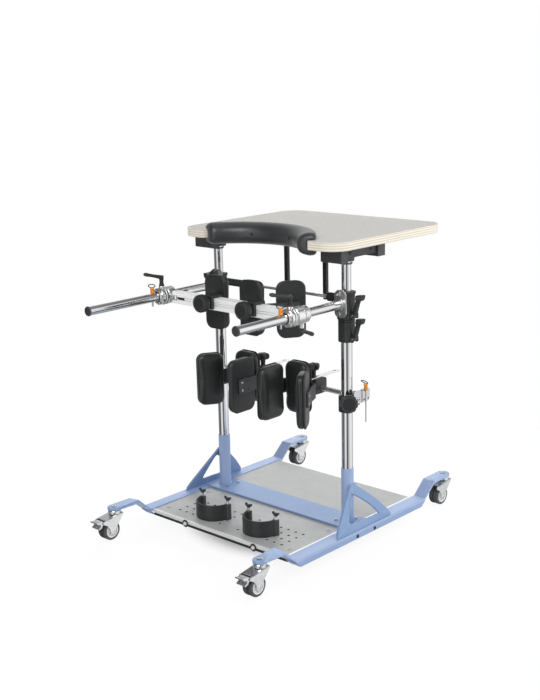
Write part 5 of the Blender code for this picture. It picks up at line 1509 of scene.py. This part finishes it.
def clamp_lever(reach):
    """A die-cast clamp lever: tapered stem, dome, and a handle that swells at its tip."""
    seat, top = LEVER_SEAT, LEVER_TOP
    stem = [(0, seat), (0.0078, seat), (0.0078, seat + 0.003), (0.0064, seat + 0.0055)]
    stem += [(0.0058, seat + 0.013), (0.0066, top - 0.01), (0.0074, top - 0.004), (0.0062, top - 0.0006)]
    stem += [(0.004, top), (0, top)]
    start, tip = Vector((0, 0.002, top - 0.006)), Vector((0, -reach + 0.005, top + LEVER_RISE))
    return together(lathe(stem, steps=36), handle(start, tip, LEVER_WIRE, LEVER_SWELL))


def latch_handle():
    """The black handle of the latch below the right ring."""
    low, high = LATCH_LOW, LATCH_LOW + 0.0105
    hub = [(0, low), (0.006, low), (0.0078, low + 0.0015), (0.008, low + 0.009), (0.0068, high), (0, high)]
    start = Vector((POST_X, LATCH_Y - 0.003, low + 0.0046))
    tip = start + Vector((0, LATCH_REACH, -LATCH_DROP))
    return together(lathe(hub, (POST_X, LATCH_Y, 0), steps=32), handle(start, tip, LATCH_WIRE, LATCH_SWELL))


pair("ring_screws_", ring_screws(), "gate_clamps", "screw")
pair("ring_groove_shades_", ring_groove_shades(), "gate_clamps", "rubber")
for side in SIDES:
    body, x = "clamp_lever_" + side, on_side(side, POST_X)
    lever = aimed(clamp_lever(LEVER_REACH[side]), (x, LEVER_Y, 0))
    piece("ring_lever_" + side, lever, body, "black", "clamp_lever_" + side)
    dome = socket_screw(0.0036, 0.0012, (x, LEVER_Y, LEVER_TOP - 0.0004))
    piece("ring_lever_screw_" + side, dome, body, "screw")
piece("latch_handle", latch_handle(), "gate_clamps", "black")
report("clamp levers")

# %% [markdown]
# The rail is an aluminium extrusion: a block with a T-slot along each face. Slots catch light and shade, so
# the profile is drawn with them and pulled along X. Its left end is a fork round the hinge's tongue.

# %% Rail
SLOT_HALF, SLOT_DEEP, SLOT_GROOVE = 0.004, 0.0035, 0.0015
OPEN_SLOT = -0.1545  # the front slot is open up to here


def rail_profile():
    """One quarter of the extrusion, mirrored twice."""
    deep, tall, slot, fall = RAIL_DEEP / 2, RAIL_TALL / 2, SLOT_HALF, SLOT_DEEP
    quarter = [(slot, tall - fall), (slot, tall - 0.0004), (slot + 0.0004, tall), (deep - 0.0022, tall),
               (deep - 0.0006, tall - 0.0006)]
    quarter += [(deep, tall - 0.0022), (deep, slot + 0.0004), (deep - 0.0004, slot), (deep - fall, slot)]
    outline = quarter + [(a, -b) for a, b in quarter[::-1]]
    outline += [(-a, -b) for a, b in quarter] + [(-a, b) for a, b in quarter[::-1]]
    return [(RAIL_Y + a, ARM_Z + b) for a, b in outline]


FORK_HALF, RAIL_HALF = KNUCKLE_HALF + 0.0006, RAIL_TALL / 2
nose = [(0, -RAIL_HALF + 0.0004), (RAIL_DEEP / 2 - 0.0018, -RAIL_HALF + 0.0004)]
nose += [(RAIL_DEEP / 2 - 0.0006, -RAIL_HALF + 0.0016)]
nose += [(r, -h) for r, h in nose[::-1]]
halves = []
for form in (extruded(rail_profile(), -GATE_X + 0.0005, RAIL_END, "X"),
             lathe(nose, (-GATE_X, RAIL_Y, ARM_Z), steps=48)):
    fork_gap = block((-GATE_X - 0.03, -GATE_X + KNUCKLE_R + 0.003), about(RAIL_Y, 0.03),
                     about(ARM_Z, FORK_HALF))
    hinge_bore = bar((-GATE_X, RAIL_Y, ARM_Z - 0.03), (-GATE_X, RAIL_Y, ARM_Z + 0.03), GATE_PIN + RUN, 32)
    halves.append(pierced(pierced(form, fork_gap), hinge_bore))
piece("gate_rail", together(*halves), "hip_gate", "anodised", "hip_rail", crease=30)
print("rail", round(RAIL_END + GATE_X, 4), "m from its hinge to its end")

# %% [markdown]
# The side slots are closed by flat covers, apart from an open stretch at the hinge, where a black strip on
# the slot's floor is painted shade. A black cap closes the end.

# %% Rail covers and cap
rail_front, cap_half = RAIL_Y - RAIL_DEEP / 2, (RAIL_DEEP / 2 - 0.001, RAIL_TALL / 2 - 0.001)
covers = []
for sign, start in ((-1, OPEN_SLOT), (1, -GATE_X + 0.03)):
    depth = sorted((RAIL_Y + sign * (RAIL_DEEP / 2 - 0.001), RAIL_Y + sign * (RAIL_DEEP / 2 - 0.0034)))
    high = SLOT_HALF - SLOT_GROOVE
    covers.append(block((start, RAIL_END - 0.001), depth, about(ARM_Z, high)))
piece("gate_rail_covers", soften(together(*covers), 0.0004), "hip_gate", "anodised")
# a black strip on the open slot's floor: painted shade in the slot
slot_shade = rounded((-GATE_X + KNUCKLE_R + 0.004, OPEN_SLOT - 0.0005),
                     (ARM_Z - SLOT_HALF + 0.0002, ARM_Z + SLOT_HALF - 0.0002), 0.002)
slot_shade = slab(slot_shade, rail_front + 0.0022, rail_front + 0.0032, "Y", 0.0003)
piece("gate_rail_slot_shade", slot_shade, "hip_gate", "rubber")
end_cap = rounded((RAIL_Y - cap_half[0], RAIL_Y + cap_half[0]), (ARM_Z - cap_half[1], ARM_Z + cap_half[1]),
                  0.002)
end_cap = slab(end_cap, RAIL_END - 0.0006, RAIL_END + 0.001, "X", 0.0005)
piece("gate_rail_cap", end_cap, "hip_gate", "black")
print("rail closed with", len(covers), "covers and a cap")

# %% [markdown]
# A saddle bridges the rail and carries a strap to the side pad. The strap is a ribbon along a rounded path,
# so its bends look pressed, not cut.

# %% Saddles
STRAP, KNOB_X, HIP_PAD_X = 0.005, {"left": 0.048, "right": 0.112}, 0.0675
HIP_SIDE_SPOT, HIP_SIDE_TURN, HIP_SIDE_THICK = Vector((0.142, -0.115)), math.radians(56.8), 0.03


def ribbon(path, thick):
    """A strip's outline along a path of points, mitred at its bends."""
    points = [Vector(p) for p in path]
    ways = [(b - a).normalized() for a, b in zip(points, points[1:])]
    left, right = [], []
    for i, point in enumerate(points):
        before, after = ways[max(i - 1, 0)], ways[min(i, len(ways) - 1)]
        normal = Vector((-(before + after).y, (before + after).x)).normalized()
        reach = thick / 2 / max(normal.dot(Vector((-before.y, before.x))), 0.3)
        left.append(tuple(point + normal * reach))
        right.append(tuple(point - normal * reach))
    return left + right[::-1]


def eased(path, reach=0.008, steps=5):
    """Rounds the bends of a path."""
    points = [Vector(p) for p in path]
    done = [points[0]]
    for before, here, after in zip(points, points[1:], points[2:]):
        start = here + (before - here).normalized() * min(reach, (before - here).length / 2)
        end = here + (after - here).normalized() * min(reach, (after - here).length / 2)
        for i in range(steps + 1):
            share = i / steps
            done.append(start.lerp(here, share).lerp(here.lerp(end, share), share))
    return [tuple(p) for p in done + [points[-1]]]


def heading(turn):
    """A pad's facing and the way along it, seen from above."""
    return Vector((-math.sin(turn), math.cos(turn))), Vector((math.cos(turn), math.sin(turn)))


def saddle(side):
    """The bridge over the rail and the strap that bends round to the side pad."""
    middle, half = KNOB_X[side], 0.015
    front, back = RAIL_Y - RAIL_DEEP / 2 - RUN, RAIL_Y + RAIL_DEEP / 2 + RUN
    top, low = ARM_Z + RAIL_TALL / 2 + RUN, ARM_Z - 0.013
    outline = [(front - 0.01, low), (front - 0.01, top + 0.005), (front - 0.007, top + 0.008),
               (back + STRAP, top + 0.008), (back + STRAP, low)]
    outline += [(back, low), (back, top), (front, top), (front, low)]
    facing, along = heading(HIP_SIDE_TURN)
    seat = HIP_SIDE_SPOT - facing * (HIP_SIDE_THICK / 2 + RUN + STRAP / 2)
    row = back + STRAP / 2
    bend = seat + along * ((row - seat.y) / along.y)
    path = [(min(middle - half, HIP_PAD_X - 0.02), row), tuple(bend), tuple(seat + along * 0.022)]
    strap = slab(ribbon(eased(path), STRAP), ARM_Z - 0.0125, ARM_Z + 0.0125, "Z", 0.001, 2, 40)
    return together(slab(outline, middle - half, middle + half, "X", 0.0014, 3), strap)


for side in SIDES:
    piece("saddle_" + side, mirrored_to(saddle(side), side), "hip_cup_" + side, "black",
          "hip_bracket_" + side)
report("saddles")

# %% [markdown]
# A round knob clamps each saddle. Its fluted outline is repeated at several heights and sizes and skinned,
# which gives soft shoulders.

# %% Hip knobs
KNOB_R, KNOB_FACE, KNOB_Z, FLUTES, FLUTE_DEEP, KNOB_STEM = 0.025, -0.281, 0.704, 30, 0.0005, 0.01
KNOB_TALL, FACE_INSET = 0.021, 0.0002
GRIP_ROWS = ((0.0, 0.86), (0.05, 0.94), (0.14, 0.99), (0.24, 1.0), (0.8, 1.0), (0.9, 0.985), (0.96, 0.955),
             (0.99, 0.91), (1.0, 0.85))  # height and size, as shares


def skinned(bm, rings):
    """Joins rings of points by faces and closes both ends."""
    for one, two in zip(rings, rings[1:]):
        for i in range(len(one)):
            bm.faces.new((one[i - 1], one[i], two[i], two[i - 1]))
    bm.faces.new(rings[0])
    bm.faces.new(rings[-1])
    return outward(bm)


def stacked(outline, rows):
    """One flat outline repeated at rows of (height, size); for grips with rounded shoulders."""
    bm = bmesh.new()
    rings = [[bm.verts.new((a * size, b * size, height)) for a, b in outline] for height, size in rows]
    return skinned(bm, rings)


def round_knob(radius, lobes, depth, low, high, stem_r):
    """A clamp knob along +Z: its stem and a grip with rounded shoulders."""
    rows = [(low + (high - low) * share, size) for share, size in GRIP_ROWS]
    grip = stacked(lobed(radius, lobes, depth, 10, 1.4), rows)
    post = [(0, 0), (stem_r, 0), (stem_r + 0.0006, 0.001), (stem_r, low), (0, low + 0.001)]
    return together(grip, lathe(post, steps=32))


def knob_face(radius, high):
    """The pressed-in disc on a knob, with a raised rim, left bare."""
    rim = radius * 0.8
    profile = [(0, high - 0.002), (rim, high - 0.002), (rim, high - 0.0001), (radius * 0.77, high + 0.0002)]
    return lathe(profile + [(radius * 0.74, high - 0.0002), (radius * 0.4, high - 0.0001), (0, high)],
                 steps=56)


seat = RAIL_Y - RAIL_DEEP / 2 - 2 * RUN - 0.01
long = seat - KNOB_FACE
for side in SIDES:
    spot, body = (on_side(side, KNOB_X[side]), seat, KNOB_Z), "hip_knob_" + side
    knob = round_knob(KNOB_R, FLUTES, FLUTE_DEEP, long - KNOB_TALL, long - FACE_INSET, KNOB_STEM)
    piece("gate_knob_" + side, aimed(knob, spot, TO_FRONT), body, "black", "hip_knob_" + side)
    piece("gate_knob_face_" + side, aimed(knob_face(KNOB_R, long - FACE_INSET), spot, TO_FRONT), body, "face")
report("hip knobs")

# %% [markdown]
# ## Knee unit
# A steel tube runs across behind the posts and slides on them with two moulded collars. Lobed knobs pinch
# the collars, and on the right an index plate with a pull pin sets the height in steps.

# %% Cross tube and collars
KNEE_Y, KNEE_Z, KNEE_R, KNEE_HALF, KNEE_LOW, KNEE_HIGH = 0.047, 0.4195, 0.0078, 0.262, 0.385, 0.432
KNOB_WAY, BOSS_START, KNEE_KNOB_SEAT = Vector((math.sqrt(0.5), -math.sqrt(0.5), 0)), 0.0165, 0.031
KNEE_KNOB_R, KNEE_KNOB_LOW, KNEE_KNOB_HIGH, KNEE_STEM = 0.026, 0.004, 0.0208, 0.012
KNEE_LOBES, KNEE_LOBE_DEEP = 12, 0.002

cross_tube = bar((-KNEE_HALF, KNEE_Y, KNEE_Z), (KNEE_HALF, KNEE_Y, KNEE_Z), KNEE_R, 40)
piece("knee_tube", cross_tube, "knee_unit", "polished", "knee_bar")


def knee_collar():
    """The collar with the lug for the cross tube and the boss for its knob."""
    ring = collar(KNEE_LOW, KNEE_HIGH, OUTER_R + RUN)
    lug = rounded((COLLAR / 2 - 0.004, KNEE_Y + 0.012), about(KNEE_Z, 0.0125), 0.0075)
    ear = slab(lug, POST_X - 0.013, POST_X + 0.013, "X", 0.0014, 3, 50)
    long = KNEE_KNOB_SEAT - BOSS_START
    boss = [(0, 0), (0.0106, 0), (0.0094, long * 0.5), (0.009, long - 0.0008), (0.0082, long), (0, long)]
    start = Vector((POST_X, 0, KNEE_Z)) + KNOB_WAY * BOSS_START
    return together(ring, ear, lathe(boss, start, KNOB_WAY, 32))


pair("knee_collar_", knee_collar(), "knee_unit", "black")
start = Vector((POST_X, 0, KNEE_Z)) + KNOB_WAY * (KNEE_KNOB_SEAT + RUN)
knob = round_knob(KNEE_KNOB_R, KNEE_LOBES, KNEE_LOBE_DEEP, KNEE_KNOB_LOW, KNEE_KNOB_HIGH, KNEE_STEM)
pair("knee_grip_", aimed(knob, start, KNOB_WAY), "knee_knob_", "black", "knee_knob_")
pair("knee_grip_face_", aimed(knob_face(KNEE_KNOB_R, KNEE_KNOB_HIGH), start, KNOB_WAY), "knee_knob_", "face")
report("knee collars")

# %% [markdown]
# On the right collar stand a scalloped disc, an upright plate with two holes, and a small tab for the pull
# pin.

# %% Index plate and its pin
INDEX_Y, INDEX_Z, INDEX_OUT, INDEX_TIP, INDEX_SHANK = 0.0335, 0.449, 0.02, 0.353, 0.002
INDEX_FRONT, INDEX_BACK, INDEX_TALL, INDEX_HOLES, INDEX_HOLE_R = -0.011, 0.061, 0.038, (0.0348, 0.054), 0.0032
DISC_Y, DISC_Z, DISC_WIDE, SCALLOPS, SCALLOP_DEEP = 0.01, KNEE_Z + 0.005, 0.0214, 14, 0.002

face, drill_z, pin_x = POST_X + COLLAR / 2, KNEE_Z - 0.0015, POST_X + COLLAR / 2 + INDEX_OUT
disc = slab(lobed(DISC_WIDE, SCALLOPS, SCALLOP_DEEP, 8, 1.4), 0, 0.0092, "Z", 0.0012, 3, 45)
disc_rim = lathe([(0.0125, 0.0088), (0.0145, 0.0096), (0.0165, 0.0088), (0.0145, 0.008)], steps=40, ring=True)
disc = aimed(together(disc, disc_rim), (face - 0.0005, DISC_Y, DISC_Z), TO_RIGHT)
piece("index_disc", disc, "knee_unit", "black")
side_plate = rounded((INDEX_FRONT, INDEX_BACK), (INDEX_Z - INDEX_TALL, INDEX_Z), 0.0085, 8)
side_plate = slab(side_plate, face + 0.0086, face + 0.0129, "X", 0.0007, 2, 50)
drills = [bar((face, y, drill_z), (face + 0.03, y, drill_z), INDEX_HOLE_R, 24) for y in INDEX_HOLES]
piece("index_plate", pierced(side_plate, together(*drills)), "knee_unit", "alloy")
tab = block((face + 0.009, pin_x + 0.008), about(INDEX_Y, 0.01), (INDEX_Z - 0.003, INDEX_Z))
shaft = bar((pin_x, INDEX_Y, INDEX_Z - 0.02), (pin_x, INDEX_Y, INDEX_Z + 0.02), 0.0023, 24)
piece("index_tab", pierced(soften(tab, 0.0008), shaft), "knee_unit", "alloy")
screw = socket_screw(0.0052, 0.003, (face + 0.0129, DISC_Y, DISC_Z), TO_RIGHT)
piece("index_screw", screw, "knee_unit", "screw")
pull_pin("knee_pin_{}", (pin_x, INDEX_Y, INDEX_Z + RUN), INDEX_TIP, INDEX_SHANK, 0, "knee_pin")
report("index plate and pin")

# %% [markdown]
# Each knee cup hangs on a slotted bar that slides in a clamp block; a star knob with five fat lobes holds
# it.

# %% Clamp blocks and star knobs
CUP_KNEE_X, BLOCK_HALF, BLOCK_FRONT, BLOCK_BACK = 0.1, 0.0175, 0.018, 0.068
BLOCK_LOW, BLOCK_TOP = 0.405, 0.4497
BAR_LOW, BAR_TOP, STAR_Y, STAR_R, STAR_TOP, STAR_TALL = 0.45, 0.454, 0.029, 0.02, 0.496, 0.019
STAR_LOBES, STAR_LOBE_DEEP = 5, 0.006
STAR_ROWS = ((0.0, 0.66), (0.06, 0.84), (0.18, 0.95), (0.34, 1.0), (0.62, 1.0), (0.78, 0.96), (0.9, 0.86),
             (0.97, 0.7), (1.0, 0.5))  # height and size, as shares


def clamp_block():
    """The block that slides on the cross tube."""
    outline = rounded((BLOCK_FRONT, BLOCK_BACK), (BLOCK_LOW, BLOCK_TOP), 0.006, 8)
    body = slab(outline, CUP_KNEE_X - BLOCK_HALF, CUP_KNEE_X + BLOCK_HALF, "X", 0.0016, 3, 50)
    return pierced(body, bar((0, KNEE_Y, KNEE_Z), (0.2, KNEE_Y, KNEE_Z), KNEE_R + RUN, 40))


def star_knob():
    """Five fat lobes on a waisted neck."""
    seat, under = BAR_TOP + RUN, STAR_TOP - STAR_TALL
    neck = [(0, BLOCK_TOP - 0.01), (0.003, BLOCK_TOP - 0.01), (0.003, seat), (0.0088, seat)]
    neck += [(0.0088, seat + 0.003), (0.007, seat + 0.006), (0.0072, under - 0.005)]
    neck += [(0.0105, under + 0.002), (0, under + 0.004)]
    rows = [(under + (STAR_TOP - under) * share, size) for share, size in STAR_ROWS]
    head = stacked(lobed(STAR_R, STAR_LOBES, STAR_LOBE_DEEP, 16, 1.3), rows)
    crown = [(0, STAR_TOP - 0.001), (0.007, STAR_TOP - 0.001), (0.0068, STAR_TOP - 0.0002),
             (0.0052, STAR_TOP)]
    crown = lathe(crown + [(0, STAR_TOP)], steps=32)
    return aimed(together(lathe(neck, steps=36), head, crown), (CUP_KNEE_X, STAR_Y, 0))


pair("knee_clamp_", clamp_block(), "knee_block_", "black", "knee_block_")
pair("knee_star_", star_knob(), "star_knob_", "black", "star_knob_")
report("clamp blocks")

# %% [markdown]
# The depth bar is a flat strip with a long slot. It ends in a bent strap, again a ribbon, that carries three
# pads.

# %% Depth bars and straps
DEPTH_BACK, DEPTH_HALF, DEPTH_SLOT, STRAP_LOW = 0.142, 0.009, 0.0036, 0.413
KNEE_BACK_Y, MEDIAL_X, MEDIAL_Y, INNER_THICK = -0.0265, 0.061, -0.112, 0.029
LATERAL_SPOT, LATERAL_TURN, OUTER_THICK, FRONT_WIDE = Vector((0.18, -0.115)), math.radians(122), 0.029, 0.087
SCREW_ROWS = (STRAP_LOW + 0.01, BAR_TOP - 0.008)

row = KNEE_BACK_Y + RUN + STRAP / 2
inner_x = MEDIAL_X - INNER_THICK / 2 - RUN - STRAP / 2


def depth_bar():
    """The slotted strip that slides in the clamp block."""
    limits = (about(CUP_KNEE_X, DEPTH_HALF), (row - 0.001, DEPTH_BACK))
    slot = rounded(about(CUP_KNEE_X, DEPTH_SLOT), (row + 0.016, DEPTH_BACK - 0.01), DEPTH_SLOT - 0.0001, 8)
    flat = extruded(rounded(*limits, 0.003), BAR_LOW, BAR_TOP)
    return pierced(soften(flat, 0.0005, 2, 50), extruded(slot, BAR_LOW - 0.01, BAR_TOP + 0.01))


def cup_strap():
    """The bent strap round the knee cup."""
    facing, along = heading(LATERAL_TURN)
    seat = LATERAL_SPOT - facing * (OUTER_THICK / 2 + RUN + STRAP / 2)
    corner = (CUP_KNEE_X + FRONT_WIDE / 2 + STRAP / 2 + 0.005, row)
    path = [(inner_x, MEDIAL_Y - 0.022), (inner_x, row), corner]
    path += [tuple(seat + along * 0.047), tuple(seat - along * 0.012)]
    return slab(ribbon(eased(path, 0.007), STRAP), STRAP_LOW, BAR_TOP + 0.002, "Z", 0.0011, 2, 40)


def strap_screws():
    """Two bright screws through each arm of the strap, and two black discs beside the inner ones: painted
    shade for two spare holes.
    """
    bright, dark = [], []
    for z in SCREW_ROWS:
        bright.append(socket_screw(0.0036, 0.0016, (inner_x - STRAP / 2, MEDIAL_Y - 0.012, z), TO_LEFT))
        dark.append(plug(0.0026, (inner_x - STRAP / 2, MEDIAL_Y + 0.012, z), TO_LEFT, 0.0003))
    facing, along = heading(LATERAL_TURN)
    spot = LATERAL_SPOT - facing * (OUTER_THICK / 2 + RUN + STRAP) - along * 0.004
    for z in SCREW_ROWS:
        bright.append(socket_screw(0.0036, 0.0016, (*spot, z), (*-facing, 0)))
    return together(*bright), together(*dark)


pair("depth_bar_", depth_bar(), "knee_cup_", "polished", "knee_frame_")
pair("cup_strap_", cup_strap(), "knee_cup_", "bracket")
screws, strap_hole_shades = strap_screws()
pair("cup_strap_screws_", screws, "knee_cup_", "screw")
pair("cup_strap_hole_shades_", strap_hole_shades, "knee_cup_", "rubber")
report("depth bars")

# %% [markdown]
# ## Pads
# A pad is a hard back shell with an upholstered cushion on it. The cushion is drawn a little too small,
# closed, and then blown up by Blender's cloth solver, with its rim held on the shell: foam under a coated
# cover swells just like that. Points may move only a few millimetres and not out of the solid that the part
# keeps for the pad.

# %% Stuffing
VOXEL, PRESSURE, FRAMES, PAD_CAP, OVER, SMOOTHING = 0.0045, 4.0, 20, 0.006, 0.0006, 0.4


def remeshed(bm, voxel):
    """The same closed form in even small faces."""
    holder = holder_of(bm, "coarse")
    bm.free()
    change = holder.modifiers.new("voxels", "REMESH")
    change.mode, change.voxel_size = "VOXEL", voxel
    fine = bmesh.new()
    fine.from_object(holder, bpy.context.evaluated_depsgraph_get())
    bpy.data.objects.remove(holder)
    return fine


def stuffed(bm, held, limit, voxel=VOXEL):
    """Swells a closed form; held(point) says where the rim is fixed, limit is the solid it may not leave."""
    fine = remeshed(bm, voxel)
    holder = holder_of(fine, "stuffed")
    rim = holder.vertex_groups.new(name="rim")
    rim.add([v.index for v in holder.data.vertices if held(v.co)], 1.0, "REPLACE")
    cloth = holder.modifiers.new("cloth", "CLOTH")
    cloth.settings.use_pressure, cloth.settings.uniform_pressure_force = True, PRESSURE
    cloth.settings.vertex_group_mass = "rim"
    cloth.settings.effector_weights.gravity = 0.0
    cloth.point_cache.frame_start, cloth.point_cache.frame_end = 1, FRAMES
    for number in range(1, FRAMES + 1):
        scene.frame_set(number)
    swollen = holder.evaluated_get(bpy.context.evaluated_depsgraph_get()).data
    fine.verts.ensure_lookup_table()
    for vert, after in zip(fine.verts, swollen.vertices):
        move = after.co - vert.co
        vert.co += move if move.length < PAD_CAP else move * (PAD_CAP / move.length)
    scene.frame_set(1)
    bpy.data.objects.remove(holder)
    wall = BVHTree.FromBMesh(limit)
    for vert in fine.verts:
        spot, normal, _, _ = wall.find_nearest(vert.co)
        if (vert.co - spot).dot(normal) > OVER:
            vert.co = spot + normal * OVER
    bmesh.ops.smooth_vert(fine, verts=fine.verts, factor=SMOOTHING, use_axis_x=True, use_axis_y=True,
                          use_axis_z=True)
    limit.free()
    return outward(fine)


print("cushions swell for", FRAMES, "frames and by", PAD_CAP, "m at most")

# %% [markdown]
# Shell, cushion and the solid that the cushion may not leave are stacks of rounded rectangles. A thin cord,
# the welt, hides the joint.

# %% Parts of a pad
SHELL_DEPTH, SEAM_DEPTH, HELD_DEPTH = 0.15, 0.17, 0.24  # shares of the pad's thickness
TAPER = (0.05, 0.022)  # for the lower and the upper half
SOLID_ROWS = [(0.0, 0.005), (0.1, 0.0008), (0.35, 0.0), (0.5, 0.0002), (0.7, 0.0003), (0.8, 0.0016),
              (0.88, 0.0044), (0.94, 0.0084), (0.98, 0.014), (1.0, 0.024)]
CUSHION_ROWS = [(SEAM_DEPTH, 0.004), (0.2, 0.0022), (0.26, 0.0012), (0.45, 0.001), (0.68, 0.0012),
                (0.77, 0.0024), (0.85, 0.0052), (0.91, 0.0094), (0.945, 0.015), (0.96, 0.025)]
SHELL_ROWS = [(0.0, 0.005), (0.012, 0.0036), (0.035, 0.002), (0.065, 0.0009), (0.1, 0.0004),
              (SHELL_DEPTH - 0.02, 0.0004), (SHELL_DEPTH, 0.001), (SHELL_DEPTH + 0.04, 0.0046)]


def tapered(x, z, tall):
    """Pads bow: they are widest above the middle and draw in towards both ends."""
    return x * (1 - TAPER[z > 0] * (2 * z / tall) ** 2)


def pad_rows(size, corner, rows):
    """A closed form from rounded rectangles: each row is (depth, inset), back to front."""
    wide, tall, thick = size
    bm = bmesh.new()
    rings = []
    for depth, inset in rows:
        a, b = wide / 2 - inset, tall / 2 - inset
        outline = rounded((-a, a), (-b, b), max(corner - 0.8 * inset, 0.004), 8)
        rings.append([bm.verts.new((tapered(x, z, tall), depth * thick, z)) for x, z in outline])
    return skinned(bm, rings)


def cushion(size, corner):
    """The upholstered part of a pad, facing +Y."""
    rim = size[2] * HELD_DEPTH
    solid = pad_rows(size, corner, SOLID_ROWS)
    return stuffed(pad_rows(size, corner, CUSHION_ROWS), lambda spot: spot.y < rim, solid)


def welt(size, corner):
    """The cord that hides the joint between shell and cushion."""
    wide, tall, thick = size
    a, b = wide / 2 - 0.0016, tall / 2 - 0.0016
    depth = thick * (SHELL_DEPTH + 0.022)
    outline = rounded((-a, a), (-b, b), corner - 0.001, 8)
    return swept([(tapered(x, z, tall), depth, z) for x, z in outline], 0.0008, closed=True, sides=2)


print("a cushion has", len(CUSHION_ROWS), "rows")

# %% [markdown]
# There are five kinds of pad. Each is stuffed once; the left one is its mirror image.

# %% Hip and knee pads
HIP_BACK_Y = RAIL_Y + RAIL_DEEP / 2 + RUN + STRAP + RUN
HIP_REAR_Z, HIP_SIDE_Z, KNEE_PAD_Z = 0.6935, 0.687, 0.4395
MEDIAL_DROP, LATERAL_DROP, PAD_CREASE = 0.005, 0.007, 60
hip_side_back = HIP_SIDE_SPOT - heading(HIP_SIDE_TURN)[0] * HIP_SIDE_THICK / 2
knee_side_back = LATERAL_SPOT - heading(LATERAL_TURN)[0] * OUTER_THICK / 2
PADS = {  # size, corner, turn, place of its back, body
    "hip_pad_rear": ((0.08, 0.155, 0.029), 0.022, 0.0, (HIP_PAD_X, HIP_BACK_Y, HIP_REAR_Z), "hip_cup_"),
    "hip_pad_side": ((0.084, 0.16, 0.03), 0.024, HIP_SIDE_TURN, (*hip_side_back, HIP_SIDE_Z), "hip_cup_"),
    "knee_pad_front": ((0.087, 0.155, 0.03), 0.024, math.pi, (CUP_KNEE_X, KNEE_BACK_Y, KNEE_PAD_Z),
                       "knee_cup_"),
    "knee_pad_inner": ((0.098, 0.16, 0.029), 0.022, -math.pi / 2,
                       (MEDIAL_X - INNER_THICK / 2, MEDIAL_Y, KNEE_PAD_Z - MEDIAL_DROP), "knee_cup_"),
    "knee_pad_outer": ((0.084, 0.159, 0.029), 0.022, LATERAL_TURN,
                       (*knee_side_back, KNEE_PAD_Z - LATERAL_DROP), "knee_cup_"),
}
PAD_PARTS = {"_cushion_": "cloth", "_shell_": "black", "_welt_": "rubber"}
for name, (size, corner, turn, spot, body) in PADS.items():
    place = Matrix.Translation(spot) @ Matrix.Rotation(turn, 4, "Z")
    soft = cushion(size, corner)
    for side in SIDES:
        back = pad_rows(size, corner, SHELL_ROWS)
        shapes = {"_cushion_": soft.copy(), "_shell_": back, "_welt_": welt(size, corner)}
        for kind, shape in shapes.items():
            shape.transform(place)
            shape = mirrored_to(shape, side)
            node = name + "_" + side if kind == "_cushion_" else ()
            made = piece(name + kind + side, shape, body + side, PAD_PARTS[kind], node, PAD_CREASE,
                         int(bool(node)))
    soft.free()
report("pads")

# %% [markdown]
# The roll on the table's notch is a foam profile in the same cover, slipped over the edge and held by two
# screws; its finish is that cover painted lighter, as painted top light. It starts from the CAD solid, drawn
# in a little, and swells between its held lips.

# %% Table roll
ROLL_SHRINK, ROLL_VOXEL, ROLL_LIP, ROLL_HELD, ROLL_CREASE = 0.0016, 0.005, 0.002, 0.004, 70
ROLL_SCREW_TURN, ROLL_SCREW_R, ROLL_SCREW_IN = math.radians(22), 0.0042, 0.0352
ROLL_SCREW_Z = TABLE_TOP - 0.012


def copied(node):
    """A merged copy of a CAD node, in lengths from the posts, with its flat faces whole again."""
    bm = bmesh.new()
    bm.from_mesh(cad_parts[node].data)
    bmesh.ops.translate(bm, vec=(0, -POST_Y, 0), verts=bm.verts)
    bmesh.ops.remove_doubles(bm, verts=bm.verts, dist=1e-5)
    bmesh.ops.dissolve_limit(bm, angle_limit=math.radians(0.5), verts=bm.verts, edges=bm.edges)
    return bm


def from_notch(spot):
    """How far a point lies from the middle of the notch's arc."""
    return math.hypot(spot.x, spot.y - NOTCH_Y)


body = copied("table_edge_roll")
bmesh.ops.triangulate(body, faces=body.faces)
outer_wall = body.copy()
outward(outer_wall)
bmesh.ops.recalc_face_normals(body, faces=body.faces)
body.normal_update()
for vert in body.verts:
    if from_notch(vert.co) < NOTCH_R - ROLL_LIP:
        vert.co -= vert.normal * ROLL_SHRINK
roll = stuffed(body, lambda spot: from_notch(spot) > NOTCH_R - ROLL_HELD, outer_wall, ROLL_VOXEL)
# the roll finish is the pad cover painted lighter, for painted top light
made = piece("table_roll", roll, "table", "roll", "table_edge_roll", ROLL_CREASE, 1)
buttons, far = [], NOTCH_R - ROLL_SCREW_IN
for turn in (-ROLL_SCREW_TURN, ROLL_SCREW_TURN):
    way = Vector((-math.sin(turn), -math.cos(turn), 0.0))
    spot = Vector((far * math.sin(turn), NOTCH_Y + far * math.cos(turn), ROLL_SCREW_Z))
    buttons.append(socket_screw(ROLL_SCREW_R, 0.0012, spot, way))
piece("table_roll_screws", together(*buttons), "table", "rubber")
report("table roll")

# %% [markdown]
# ## Nodes without a piece
# Every CAD node should have a piece that stands for it. The list below is empty when none was forgotten.

# %% Leftover nodes
print("nodes without a piece:", sorted(set(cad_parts) - dressed))
